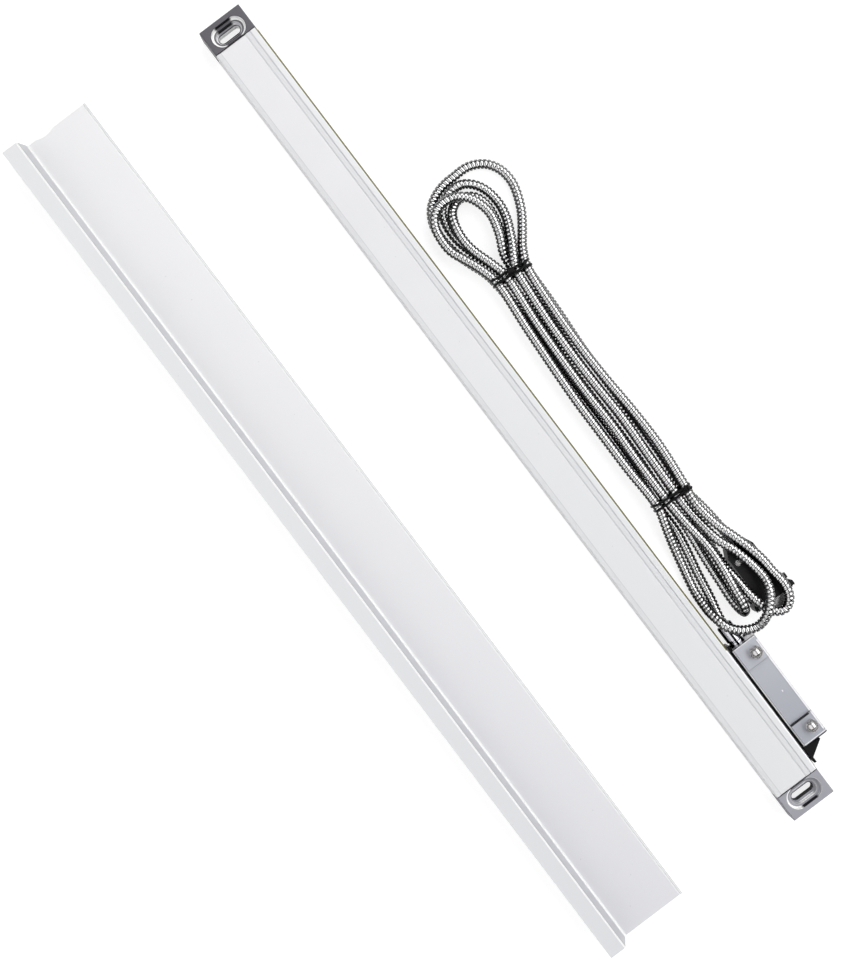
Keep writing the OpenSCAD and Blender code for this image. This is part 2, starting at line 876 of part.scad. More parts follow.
// tube swept along the route, each ring square to it
module tube(path, d, sides = 10) {
    up = [0, 0, 1];
    rings = [
        for (i = [0:len(path) - 1])
            let (t = heading(path, i), side = unit(cross(t, up)), top = cross(side, t))
                for (k = [0:sides - 1])
                    path[i] + d / 2 * (side * cos(360 * k / sides) + top * sin(360 * k / sides))
    ];
    n = len(path);
    walls = [
        for (i = [0:n - 2], k = [0:sides - 1])
            let (a = i * sides + k, b = i * sides + (k + 1) % sides)
                [a, b, b + sides, a + sides]
    ];
    first = [for (k = [sides - 1:-1:0]) k];
    last = [for (k = [0:sides - 1]) (n - 1) * sides + k];
    polyhedron(points = rings, faces = concat([first], walls, [last]), convexity = 6);
}

module cable_lead() {
    color(steel) tube(lead_route, cable_d);
}

module cable_tail() {
    color(steel) tube(tail_route, cable_d);
}

module lobe(p0, r0, p1, r1) {
    hull() {
        translate(p0) circle(r0, $fn = 32);
        translate(p1) circle(r1, $fn = 32);
    }
}

module lobes(rows) {
    for (row = rows)
        lobe(row[0], row[1], row[2], row[3]);
}

// outer shape of the folded cable: bundle with a bulge, loops at both ends
module cable_hank() {
    color(steel)
        difference() {
            union() {
                translate([0, 0, hank_z0]) linear_extrude(hank_z1 - hank_z0) lobes(bundle_lobes);
                translate([0, 0, over_z0]) linear_extrude(over_z1 - over_z0) lobes(over_lobes);
                translate([0, 0, hank_z0]) linear_extrude(over_z1 - hank_z0)
                    lobe([122, 48], 12, [124, 46], 12);
            }
            for (i = [0, 1])
                tie_room(i);
        }
}

module tie_section(i, in) {
    round_rect(tie_y[i] - tie_half_w + in, tie_y[i] + tie_half_w - in, tie_z0 + in, tie_z1 - in,
               6 - in);
}

// everything in the tie's width that lies outside the strap's inner face
module tie_room(i) {
    along_x(tie_x[i] - tie_w / 2 - fit, tie_w + 2 * fit)
        difference() {
            translate([tie_y[i] - 2 * tie_half_w, tie_z0 - 1])
                square([4 * tie_half_w, tie_z1 - tie_z0 + 2]);
            tie_section(i, tie_t + fit);
        }
}

// strap round the bundle
module tie_solid(i) {
    along_x(tie_x[i] - tie_w / 2, tie_w)
        difference() {
            tie_section(i, 0);
            tie_section(i, tie_t);
        }
}

module cable_tie_upper() { color(black) tie_solid(0); }
module cable_tie_lower() { color(black) tie_solid(1); }

// ---------- plug ----------

// half of the hood's outline, from the cable's end to the flange
module hood_plan() {
    x1 = plug_x1;
    x2 = plug_x1 - ear_l;
    half_ear = ear_w / 2;
    for (s = [0, 1])
        translate([0, plug_y])
            mirror([0, s])
                polygon([
                    [plug_x0, -1], [plug_x0, hood_end_w / 2], [plug_x0 + 6, hood_w / 2],
                    [x2 - knob_l - 3, hood_w / 2], [x2 - knob_l - 1, waist_w / 2],
                    [x2, waist_w / 2], [x2, half_ear - ear_corner],
                    [x2 + ear_corner, half_ear], [x1, half_ear], [x1, -1]
                ]);
}

module hood_half(top) {
    z0 = top ? plug_z : 0;
    screw_dx = 11;
    difference() {
        translate([0, 0, z0]) linear_extrude(hood_h / 2) hood_plan();
        bar([plug_x0 + 5, plug_y - waist_w / 2 + hood_wall, hood_wall],
            [plug_x1 - 3, plug_y + waist_w / 2 - hood_wall, hood_h - hood_wall]);
        rod_x(plug_x0 - 1, plug_x0 + 6, plug_y, plug_z, collar_d - 2);
        bar([plug_x1 - 4, plug_y - 8.2, plug_z - 5], [plug_x1 + 1, plug_y + 8.2, plug_z + 5]);
        for (s = [-1, 1]) {
            rod_x(plug_x1 - ear_l - 1, plug_x1 + 1, plug_y + s * thumb_pitch / 2, plug_z,
                  thumb_d + 2 * run);
            translate([plug_x0 + screw_dx, plug_y + s * (waist_w / 2 - 3), -1])
                cylinder(d = 2, h = hood_h + 2);
            if (top)
                translate([plug_x0 + screw_dx, plug_y + s * (waist_w / 2 - 3), hood_h - 1.2])
                    cylinder(d = 4, h = 2);
        }
    }
    for (s = [-1, 1])
        difference() {
            translate([plug_x0 + screw_dx, plug_y + s * (waist_w / 2 - 3), z0])
                cylinder(d = 4, h = hood_h / 2 - (top ? 1.2 : 0));
            translate([plug_x0 + screw_dx, plug_y + s * (waist_w / 2 - 3), 0.8])
                cylinder(d = 2.04, h = hood_h);
        }
}

module plug_hood_upper() { color(black) hood_half(true); }
module plug_hood_lower() { color(black) hood_half(false); }

module hood_screws() {
    color(steel)
        for (s = [-1, 1])
            translate([plug_x0 + 11, plug_y + s * (waist_w / 2 - 3), 0]) {
                translate([0, 0, 2]) cylinder(d = 2, h = hood_h - 3);
                difference() {
                    translate([0, 0, hood_h - 1.2]) cylinder(d = 3.8, h = 1.1);
                    translate([-0.25, -3, hood_h - 0.6]) cube([0.5, 6, 2]);
                }
            }
}

module plug_collar() {
    color(steel)
        translate([plug_x0 - collar_l, plug_y, plug_z])
            rotate([0, 90, 0])
                rotate_extrude()
                    polygon([
                        [cable_d / 2 - 1, 1], [cable_d / 2 + 0.5, 0], [collar_d / 2, 1],
                        [collar_d / 2, collar_l], [collar_d / 2 - 1.05, collar_l],
                        [collar_d / 2 - 1.05, collar_l + 4.8], [cable_d / 2 - 1, collar_l + 4.8]
                    ]);
}

// D-shaped outline, wide side up
module d_outline(w, h) {
    slant = h * 0.18;
    polygon([
        [-w / 2 + slant, -h / 2], [w / 2 - slant, -h / 2], [w / 2, h / 2], [-w / 2, h / 2]
    ]);
}

module plug_shell() {
    color(steel)
        difference() {
            union() {
                along_x(plug_x1, flange_t)
                    round_rect(plug_y - ear_w / 2, plug_y + ear_w / 2, plug_z - flange_h / 2,
                               plug_z + flange_h / 2, 1.5);
                along_x(plug_x1, flange_t + shell_l)
                    translate([plug_y, plug_z]) d_outline(shell_w, shell_h);
            }
            along_x(plug_x1 - 1, flange_t + shell_l + 2)
                translate([plug_y, plug_z]) d_outline(shell_w - 1, shell_h - 1);
            for (s = [-1, 1])
                rod_x(plug_x1 - 1, plug_x1 + flange_t + 1, plug_y + s * thumb_pitch / 2, plug_z,
                      thumb_d + 0.4);
        }
}

// places of the nine contacts, five above four
module contact_places() {
    pitch = 2.77;
    for (i = [0:4]) translate([(i - 2) * pitch, 1.42]) children();
    for (i = [0:3]) translate([(i - 1.5) * pitch, -1.42]) children();
}

module plug_insulator() {
    color([0.08, 0.08, 0.1])
        difference() {
            union() {
                along_x(plug_x1 - 1, flange_t + shell_l + 0.8)
                    translate([plug_y, plug_z]) d_outline(shell_w - 1, shell_h - 1);
                bar([plug_x1 - 3.5, plug_y - 8, plug_z - 4.6], [plug_x1, plug_y + 8, plug_z + 4.6]);
            }
            along_x(plug_x1 - 5, 20)
                translate([plug_y, plug_z]) contact_places() circle(d = 1.2, $fn = 16);
        }
}

module plug_contacts() {
    color([0.85, 0.7, 0.35])
        along_x(plug_x1 - 6, flange_t + shell_l + 4)
            translate([plug_y, plug_z]) contact_places() circle(d = 1.18, $fn = 16);
}

module thumbscrew(s) {
    ty = plug_y + s * thumb_pitch / 2;
    x1 = plug_x1 - ear_l - 0.3;
    slots = 8;
    color(black)
        difference() {
            union() {
                rod_x(x1 - knob_l, x1, ty, plug_z, knob_d);
                rod_x(x1 - 1, thumb_x1, ty, plug_z, thumb_d);
            }
            for (i = [0:slots - 1])
                translate([x1 - knob_l + 1, ty, plug_z])
                    rotate([i * 360 / slots, 0, 0])
                        translate([0, knob_d / 2 - 0.35, -0.3]) cube([knob_l - 2, 1, 0.6]);
        }
}

module thumbscrew_left() { thumbscrew(-1); }
module thumbscrew_right() { thumbscrew(1); }

// ---------- assembly ----------

housing();
glass_scale();
glass_bedding();
lip_seal_upper();
lip_seal_lower();
end_block_left();
end_block_right();
end_gasket_left();
end_gasket_right();
end_block_screws();
dust_cover();
head_foot();
foot_screws();
blade();
head_body();
head_lid();
head_gasket();
head_board();
head_bolts();
head_nuts();
cable_ferrule();
cable_core();
signal_ribbon();
carriage_frame();
race_axles();
coupling_wire();
lamp_board();
lamp();
condenser_lens();
index_grating();
photocell_board();
photocells();
race_top_left();
race_top_right();
race_top_middle();
race_edge_left();
race_edge_right();
cable_lead();
cable_hank();
cable_tail();
cable_tie_upper();
cable_tie_lower();
plug_hood_upper();
plug_hood_lower();
hood_screws();
plug_collar();
plug_shell();
plug_insulator();
plug_contacts();
thumbscrew_left();
thumbscrew_right();
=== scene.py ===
"""Dresses the linear glass scale: armoured cable, ties, finishes, floor, lamps and camera."""

import json
import logging
import math
from dataclasses import dataclass, field
from enum import Enum
from functools import partial

import bmesh
import bpy
import numpy as np
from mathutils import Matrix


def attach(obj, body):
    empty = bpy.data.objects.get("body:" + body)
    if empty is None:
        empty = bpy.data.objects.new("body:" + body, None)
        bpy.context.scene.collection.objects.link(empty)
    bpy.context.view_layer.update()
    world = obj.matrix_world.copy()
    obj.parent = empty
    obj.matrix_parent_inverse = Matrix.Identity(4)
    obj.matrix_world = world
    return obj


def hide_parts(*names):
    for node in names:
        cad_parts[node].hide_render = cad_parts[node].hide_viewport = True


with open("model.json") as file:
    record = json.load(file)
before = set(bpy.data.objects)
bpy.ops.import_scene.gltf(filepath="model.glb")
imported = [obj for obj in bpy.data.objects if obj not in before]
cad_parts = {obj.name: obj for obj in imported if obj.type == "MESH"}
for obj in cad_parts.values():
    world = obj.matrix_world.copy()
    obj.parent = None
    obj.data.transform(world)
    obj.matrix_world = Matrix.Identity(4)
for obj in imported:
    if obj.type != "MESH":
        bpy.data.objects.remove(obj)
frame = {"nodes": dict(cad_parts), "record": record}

LOG = logging.getLogger("glass_scale")
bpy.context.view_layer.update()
MM = 0.001
# how finely a spline is worked out between two of the points it passes through
SPAN_STEPS = 24

Point = tuple[float, float, float]
Colour = tuple[float, float, float]
Node = bpy.types.Node
Socket = bpy.types.NodeSocket
Tree = bpy.types.ShaderNodeTree
Value = Socket | float | tuple[float, ...]


class Grain(Enum):
    """How a surface was made, which sets the direction and kind of its fine texture."""

    DRAWN = "drawn"
    CAST = "cast"
    ROLLED = "rolled"
    TURNED = "turned"
    MOULDED = "moulded"
    SOFT = "soft"


# stretch of the texture along X, Y and Z, for the kinds of grain that have a direction
STRETCH: dict[Grain, Point] = {
    Grain.DRAWN: (0.02, 1.0, 1.0),
    Grain.ROLLED: (0.06, 1.0, 0.5),
    Grain.TURNED: (1.0, 0.3, 0.3),
}
UNSTRETCHED: Point = (1.0, 1.0, 1.0)


@dataclass(frozen=True)
class Finish:
    """One finish of the object, named after its slot in the record.

    Colours are as seen, from 0 to 255. Grain size and relief are in millimetres.
    """

    slot: str
    colour: Colour
    second: Colour
    roughness: float
    metallic: float
    grain: Grain = Grain.MOULDED
    grain_mm: float = 0.4
    relief_mm: float = 0.01
    mottle_mm: float = 30.0
    blend: float = 0.5
    rough_spread: float = 0.08
    specks: float = 0.0
    speck_and_shade_colour: Colour = (70, 70, 74)
    edge_mm: float = 0.15
    transmission: float = 0.0
    ior: float = 1.5
    specular: float = 0.5


def linear(colour: Colour) -> tuple[float, float, float, float]:
    """Turns a seen colour into the one that a shader takes, by the sRGB curve.

    Args:
        colour: red, green and blue from 0 to 255.

    Returns:
        The linear colour with an alpha of one.
    """
    parts = [c / 255.0 for c in colour]
    out = [c / 12.92 if c <= 0.04045 else ((c + 0.055) / 1.055) ** 2.4 for c in parts]
    return (out[0], out[1], out[2], 1.0)


def feed(tree: Tree, value: Value, socket: Socket) -> None:
    """Links a socket to an input, or gives the input a plain value.

    Args:
        tree: the node tree.
        value: the socket or the plain value.
        socket: the input.
    """
    if isinstance(value, Socket):
        tree.links.new(value, socket)
    else:
        socket.default_value = value


def add_node(tree: Tree, kind: str, inputs: dict[str | int, Value],
             **settings: str | int | Tree) -> Node:
    """Adds a shader node.

    Args:
        tree: the node tree.
        kind: the node's type, without the "ShaderNode" that it begins with.
        inputs: what each input is fed, by its name or number.
        **settings: the node's own settings.

    Returns:
        The node.
    """
    node = tree.nodes.new("ShaderNode" + kind)
    for key, value in settings.items():
        setattr(node, key, value)
    for key, value in inputs.items():
        feed(tree, value, node.inputs[key])
    return node


def math_node(tree: Tree, work: str, *values: Value, clamp: bool = False) -> Socket:
    """Adds one sum to a node tree.

    Args:
        tree: the node tree.
        work: the operation's name.
        *values: the sockets or numbers it works on.
        clamp: whether the result stays from 0 to 1.

    Returns:
        The socket with the result.
    """
    node = add_node(tree, "Math", dict(enumerate(values)), operation=work, use_clamp=clamp)
    return node.outputs[0]


@dataclass
class EffectKit:
    """Shader node groups that several finishes share, each built once.

    Lengths are in metres. A ring's edge, and the change from its round ends to its straight
    sides, are soft over a short way. So is the change where a leaning ring stops.
    """

    grain_detail: float = 3.0
    mottle_detail: float = 4.0
    edge_soft: float = 0.0001
    end_soft: float = 0.0016
    lean_per_metre: float = 1000.0
    groups: dict[str, Tree] = field(default_factory=dict)

    def start(self, name: str, *inputs: str) -> tuple[Tree, list[Socket]]:
        """Makes an empty group with its sockets.

        Args:
            name: the group's name.
            *inputs: name of each thing that goes in, of which "Vector" isn't a number.

        Returns:
            The tree and the sockets of what goes in, in their order.
        """
        tree = bpy.data.node_groups.new(name, "ShaderNodeTree")
        for label in inputs:
            kind = "NodeSocketVector" if label == "Vector" else "NodeSocketFloat"
            tree.interface.new_socket(label, in_out="INPUT", socket_type=kind)
        tree.interface.new_socket("Value", in_out="OUTPUT", socket_type="NodeSocketFloat")
        self.groups[name] = tree
        given = tree.nodes.new("NodeGroupInput").outputs
        return tree, [given[label] for label in inputs]

    def end(self, tree: Tree, value: Socket) -> None:
        """Leads a group's result out of it."""
        tree.links.new(value, tree.nodes.new("NodeGroupOutput").inputs["Value"])

    def build(self) -> None:
        """Builds every shared effect."""
        self.build_grain()
        self.build_mottle()
        self.build_specks()
        self.build_line()
        self.build_ring()

    def build_grain(self) -> None:
        """Fine texture of a worked surface, as a value about one half."""
        tree, (spot, scale) = self.start("surface_grain", "Vector", "Scale")
        given = {"Vector": spot, "Scale": scale, "Detail": self.grain_detail}
        noise = add_node(tree, "TexNoise", given)
        self.end(tree, noise.outputs["Fac"])

    def build_mottle(self) -> None:
        """Broad uneven patches from handling and light oxide, as a value from 0 to 1."""
        tree, (spot, scale, contrast) = self.start("broad_mottle", "Vector", "Scale", "Contrast")
        given = {"Vector": spot, "Scale": scale, "Detail": self.mottle_detail}
        noise = add_node(tree, "TexNoise", given)
        away = math_node(tree, "SUBTRACT", noise.outputs["Fac"], 0.5)
        self.end(tree, math_node(tree, "MULTIPLY_ADD", away, contrast, 0.5, clamp=True))

    def build_specks(self) -> None:
        """Scattered specks of dust and small nicks, as a mask."""
        tree, (spot, scale, size, strength) = self.start(
            "dust_specks", "Vector", "Scale", "Size", "Strength"
        )
        cells = add_node(tree, "TexVoronoi", {"Vector": spot, "Scale": scale})
        inside = math_node(tree, "LESS_THAN", cells.outputs["Distance"], size)
        self.end(tree, math_node(tree, "MULTIPLY", inside, strength))

    def build_line(self) -> None:
        """A line or band about one coordinate, between two limits along another, as a mask."""
        tree, (across, middle, width, soft, strength, along, low, high) = self.start(
            "step_line", "Coordinate", "Place", "Width", "Soft", "Strength", "Along", "From", "To"
        )
        work = partial(math_node, tree)
        left = work("SUBTRACT", width, work("ABSOLUTE", work("SUBTRACT", across, middle)))
        share = work("DIVIDE", left, soft, clamp=True)
        after, before = work("GREATER_THAN", along, low), work("LESS_THAN", along, high)
        kept = work("MULTIPLY", share, work("MULTIPLY", after, before))
        self.end(tree, work("MULTIPLY", kept, strength))

    def build_ring(self) -> None:
        """Walls of a stepped slot that runs along Y, as a mask of its ends or of its sides."""
        tree, (vector, middle, straight, radius, width, ends, lean, strength) = self.start(
            "slot_ring", "Vector", "Place", "Straight", "Radius", "Width", "Ends", "Lean",
            "Strength",
        )
        work = partial(math_node, tree)
        spot = add_node(tree, "SeparateXYZ", {"Vector": vector}).outputs
        across = work("SUBTRACT", spot["X"], middle)
        past = work("SUBTRACT", work("ABSOLUTE", spot["Y"]), straight)
        rounded = work("MAXIMUM", past, 0.0)
        total = work("ADD", work("MULTIPLY", across, across), work("MULTIPLY", rounded, rounded))
        away = work("ABSOLUTE", work("SUBTRACT", work("SQRT", total), radius))
        ring = work("DIVIDE", work("SUBTRACT", width, away), self.edge_soft, clamp=True)
        end = work("DIVIDE", past, self.end_soft, clamp=True)
        as_end = work("MULTIPLY", end, ends)
        as_side = work("MULTIPLY", work("SUBTRACT", 1.0, end), work("SUBTRACT", 1.0, ends))
        shown = work("MULTIPLY", ring, work("ADD", as_end, as_side))
        steep = work("MULTIPLY", work("MULTIPLY", spot["Y"], lean), self.lean_per_metre)
        kept = work("MULTIPLY", shown, work("ADD", steep, 1.0, clamp=True))
        self.end(tree, work("MULTIPLY", kept, strength))

    def place(self, tree: Tree, name: str, first: Socket, **values: Value) -> Socket:
        """Places a shared effect in a material.

        Args:
            tree: the material's node tree.
            name: name of the effect's group.
            first: the socket that feeds its first input.
            **values: sockets or numbers for its other inputs.

        Returns:
            The socket with the effect's result.
        """
        node = add_node(tree, "Group", {}, node_tree=self.groups[name])
        for key, value in ((0, first), *values.items()):
            feed(tree, value, node.inputs[key])
        return node.outputs["Value"]


EFFECTS = EffectKit()


@dataclass(frozen=True)
class Streak:
    """A line or band of another tone that follows a step, an edge or a bend: mostly painted shade
    and painted highlights.

    It lies about place_mm on one axis, and between two places on another.
    """

    axis: str
    place_mm: float
    width_mm: float
    strength: float
    colour: Colour = (176, 177, 182)
    soft_mm: float = 0.0
    along: str = "X"
    from_mm: float = -2000.0
    to_mm: float = 2000.0


@dataclass(frozen=True)
class Ring:
    """Painted highlights and shade on the cut walls of a stepped slot, mostly bright at its round
    ends and dark along its sides.

    A lean of 1 keeps only the half towards +Y, and a lean of -1 only the half towards -Y.
    """

    x_mm: float
    straight_mm: float
    radius_mm: float
    width_mm: float
    ends: bool
    colour: Colour
    strength: float = 0.95
    lean: float = 0.0


@dataclass(frozen=True)
class Fade:
    """A slow change of tone along one axis, between two places, painted as light falling off along
    a part.
    """

    axis: str
    start_mm: float
    end_mm: float
    colour: Colour


@dataclass
class Paint:
    """Builds the material of one finish."""

    finish: Finish
    streaks: tuple[Streak, ...] = ()
    rings: tuple[Ring, ...] = ()
    fade: Fade | None = None
    groove: str = ""
    smoothest: float = 0.02
    mottle_contrast: float = 2.2
    speck_scale: float = 90.0
    speck_size: float = 0.035
    bevel_samples: int = 4

    def build(self) -> bpy.types.Material:
        """Builds the material.

        Returns:
            The finished material.
        """
        kind = self.finish
        made = bpy.data.materials.new(kind.slot)
        made.use_nodes = True
        tree = made.node_tree
        coord = add_node(tree, "TexCoord", {}).outputs["Object"]
        stretch = STRETCH.get(kind.grain, UNSTRETCHED)
        mapping = add_node(tree, "Mapping", {"Vector": coord, "Scale": stretch})
        grain = EFFECTS.place(
            tree, "surface_grain", mapping.outputs["Vector"], Scale=1.0 / (kind.grain_mm * MM)
        )
        rough = add_node(tree, "MapRange", {
            "Value": grain,
            "To Min": max(self.smoothest, kind.roughness - kind.rough_spread),
            "To Max": min(1.0, kind.roughness + kind.rough_spread),
        })
        bump = add_node(tree, "Bump", {
            "Strength": 1.0, "Distance": kind.relief_mm * MM, "Height": grain,
        })
        if kind.edge_mm:
            radius = kind.edge_mm * MM
            worn = add_node(tree, "Bevel", {"Radius": radius}, samples=self.bevel_samples)
            feed(tree, worn.outputs["Normal"], bump.inputs["Normal"])
        values: dict[str, Value] = {
            "Base Color": self.base_colour(tree, coord, grain),
            "Metallic": kind.metallic,
            "Roughness": rough.outputs["Result"],
            "IOR": kind.ior,
            "Normal": bump.outputs["Normal"],
            "Transmission Weight": kind.transmission,
            "Specular IOR Level": kind.specular,
        }
        for name, value in values.items():
            feed(tree, value, tree.nodes["Principled BSDF"].inputs[name])
        return made

    def base_colour(self, tree: Tree, coord: Socket, grain: Socket) -> Socket:
        """Mixes the finish's two colours, its painted light fade, specks, streaks and rings of
        painted highlight and shade, and painted shade.

        Args:
            tree: the material's node tree.
            coord: socket with the object's own coordinates.
            grain: socket with the fine texture.

        Returns:
            The socket with the base colour.
        """
        kind = self.finish
        mottle = EFFECTS.place(
            tree, "broad_mottle", coord, Scale=1.0 / (kind.mottle_mm * MM),
            Contrast=self.mottle_contrast,
        )
        patches = math_node(tree, "MULTIPLY", mottle, 1.0 - kind.blend)
        share = math_node(tree, "MULTIPLY_ADD", grain, kind.blend, patches, clamp=True)
        colour = self.mix(tree, share, linear(kind.colour), linear(kind.second))
        spot = add_node(tree, "SeparateXYZ", {"Vector": coord}).outputs
        # painted light: the part lighter at one end and darker towards the other
        if self.fade:
            along = add_node(tree, "MapRange", {
                "Value": spot[self.fade.axis], "From Min": self.fade.start_mm * MM,
                "From Max": self.fade.end_mm * MM,
            })
            colour = self.mix(tree, along.outputs["Result"], colour, linear(self.fade.colour))
        if kind.specks:
            dots = EFFECTS.place(
                tree, "dust_specks", coord, Scale=self.speck_scale, Size=self.speck_size,
                Strength=kind.specks,
            )
            colour = self.mix(tree, dots, colour, linear(kind.speck_and_shade_colour))
        # painted shade and painted highlights along steps, edges and folds
        for streak in self.streaks:
            line = EFFECTS.place(
                tree, "step_line", spot[streak.axis], Place=streak.place_mm * MM,
                Width=streak.width_mm * MM, Soft=(streak.soft_mm or streak.width_mm) * MM,
                Strength=streak.strength, Along=spot[streak.along],
                From=streak.from_mm * MM, To=streak.to_mm * MM,
            )
            colour = self.mix(tree, line, colour, linear(streak.colour))
        # painted highlights and shade on the walls of stepped slots
        for ring in self.rings:
            wall = EFFECTS.place(
                tree, "slot_ring", coord, Place=ring.x_mm * MM, Straight=ring.straight_mm * MM,
                Radius=ring.radius_mm * MM, Width=ring.width_mm * MM, Ends=float(ring.ends),
                Lean=ring.lean, Strength=ring.strength,
            )
            colour = self.mix(tree, wall, colour, linear(ring.colour))
        # painted shade and painted reflection read from the mesh: darker in the grooves, on the
        # flanks and along the top line
        if self.groove:
            depth = add_node(tree, "Attribute", {}, attribute_name=self.groove)
            colour = self.mix(tree, depth.outputs["Fac"], colour, linear(kind.speck_and_shade_colour))
        return colour

    def mix(self, tree: Tree, factor: Socket, first: Value, second: Value) -> Socket:
        """Mixes two colours, each a socket or a plain colour.

        Args:
            tree: the material's node tree.
            factor: socket with the share of the second.
            first: colour where the factor is 0.
            second: colour where the factor is 1.

        Returns:
            The socket with the mixed colour.
        """
        node = add_node(tree, "Mix", {"Factor": factor}, data_type="RGBA")
        for key, value in (("A", first), ("B", second)):
            into = next(s for s in node.inputs if s.name == key and s.type == "RGBA")
            feed(tree, value, into)
        return next(s for s in node.outputs if s.type == "RGBA")


FINISHES: tuple[Finish, ...] = (
    Finish("anodised_aluminium", (238, 238, 240), (232, 232, 235), 0.42, 0.3, Grain.DRAWN,
           0.5, 0.006, 60, 0.35, specks=0.25, speck_and_shade_colour=(176, 177, 182), edge_mm=0.3),
    Finish("cover_aluminium", (250, 250, 251), (245, 245, 247), 0.4, 0.22, Grain.ROLLED,
           0.5, 0.005, 80, 0.4, specks=0.35, speck_and_shade_colour=(180, 180, 184), edge_mm=0.3),
    Finish("dark_casting", (108, 106, 111), (97, 96, 101), 0.4, 0.1, Grain.CAST,
           0.35, 0.03, 12, specks=0.3, speck_and_shade_colour=(60, 60, 64), edge_mm=0.6, specular=0.1),
    Finish("pale_casting", (164, 164, 171), (150, 150, 158), 0.55, 0.0, Grain.CAST,
           0.35, 0.03, 12, specks=0.3, speck_and_shade_colour=(104, 104, 110), edge_mm=0.6,
           specular=0.04),
    Finish("satin_casting", (192, 194, 202), (182, 184, 192), 0.36, 0.45, Grain.CAST,
           0.25, 0.012, 25, specks=0.2, speck_and_shade_colour=(96, 97, 104), edge_mm=0.7),
    Finish("scale_glass", (226, 238, 232), (220, 234, 228), 0.04, 0.0, Grain.SOFT,
           5.0, 0.0, 60, 0.5, 0.01, edge_mm=0.0, transmission=1.0, ior=1.52),
    Finish("lens_glass", (240, 244, 246), (234, 240, 242), 0.03, 0.0, Grain.SOFT,
           5.0, 0.0, 60, 0.5, 0.01, edge_mm=0.0, transmission=1.0, ior=1.52),
    Finish("bedding_silicone", (196, 192, 180), (184, 180, 168), 0.6, 0.0, Grain.SOFT,
           1.0, 0.02, 8),
    Finish("lip_seal", (112, 108, 62), (92, 86, 48), 0.5, 0.0, Grain.DRAWN,
           0.6, 0.02, 20, edge_mm=0.2),
    Finish("gasket_rubber", (36, 36, 38), (26, 26, 28), 0.65, 0.0, Grain.SOFT,
           0.5, 0.02, 10, specular=0.18),
    Finish("plated_steel", (222, 220, 220), (200, 198, 198), 0.2, 0.85, Grain.TURNED,
           0.3, 0.002, 6, 0.5, 0.05, specks=0.2, edge_mm=0.0),
    Finish("polished_steel", (214, 214, 218), (196, 196, 202), 0.12, 1.0, Grain.TURNED,
           0.35, 0.004, 8, 0.5, 0.04, edge_mm=0.3),
    Finish("blade_steel", (176, 176, 180), (150, 150, 156), 0.3, 1.0, Grain.DRAWN,
           0.3, 0.006, 12),
    Finish("bearing_steel", (204, 204, 208), (188, 188, 194), 0.14, 1.0, Grain.TURNED,
           0.3, 0.003, 5, 0.5, 0.04),
    # the conduit's dark second colour (9, 9, 9) is that of its painted shade and painted reflection
    Finish("conduit_steel", (250, 250, 251), (236, 236, 237), 0.18, 1.0, Grain.TURNED,
           0.5, 0.006, 14, 0.5, 0.05, speck_and_shade_colour=(9, 9, 9), edge_mm=0.0),
    Finish("black_coat", (14, 14, 15), (8, 8, 9), 0.38, 0.0, Grain.CAST,
           0.35, 0.02, 12, edge_mm=0.3, specular=0.18),
    Finish("circuit_board", (34, 92, 54), (26, 76, 44), 0.42, 0.0, Grain.MOULDED,
           1.2, 0.02, 6, 0.7),
    Finish("cable_sheath", (44, 44, 46), (34, 34, 36), 0.5, 0.0, Grain.SOFT,
           0.5, 0.01, 12, specular=0.18),
    Finish("ribbon_film", (188, 132, 54), (168, 112, 42), 0.35, 0.0, Grain.DRAWN,
           0.6, 0.01, 10, 0.6),
    Finish("carriage_plastic", (52, 52, 56), (42, 42, 46), 0.45, 0.0, Grain.MOULDED,
           0.3, 0.012, 10, specular=0.18),
    Finish("lamp_resin", (226, 226, 214), (214, 212, 196), 0.12, 0.0, Grain.SOFT,
           2.0, 0.0, 10, 0.5, 0.03, transmission=0.6),
    Finish("photocell", (34, 32, 62), (26, 24, 50), 0.2, 0.0, Grain.MOULDED,
           0.8, 0.003, 4),
    Finish("tie_plastic", (14, 14, 15), (8, 8, 9), 0.42, 0.0, Grain.SOFT,
           0.5, 0.02, 6, edge_mm=0.0, specular=0.18),
    Finish("hood_plastic", (24, 24, 26), (18, 18, 19), 0.5, 0.0, Grain.MOULDED,
           0.25, 0.02, 12, edge_mm=0.4, specular=0.18),
    Finish("insulator_plastic", (26, 26, 30), (20, 20, 23), 0.45, 0.0, Grain.MOULDED,
           0.3, 0.01, 8, specular=0.18),
    Finish("contact_brass", (214, 180, 104), (196, 160, 84), 0.2, 1.0, Grain.TURNED,
           0.3, 0.003, 3),
    Finish("black_screw", (22, 22, 24), (14, 14, 15), 0.35, 0.0, Grain.MOULDED,
           0.3, 0.01, 5, edge_mm=0.2, specular=0.18),
)
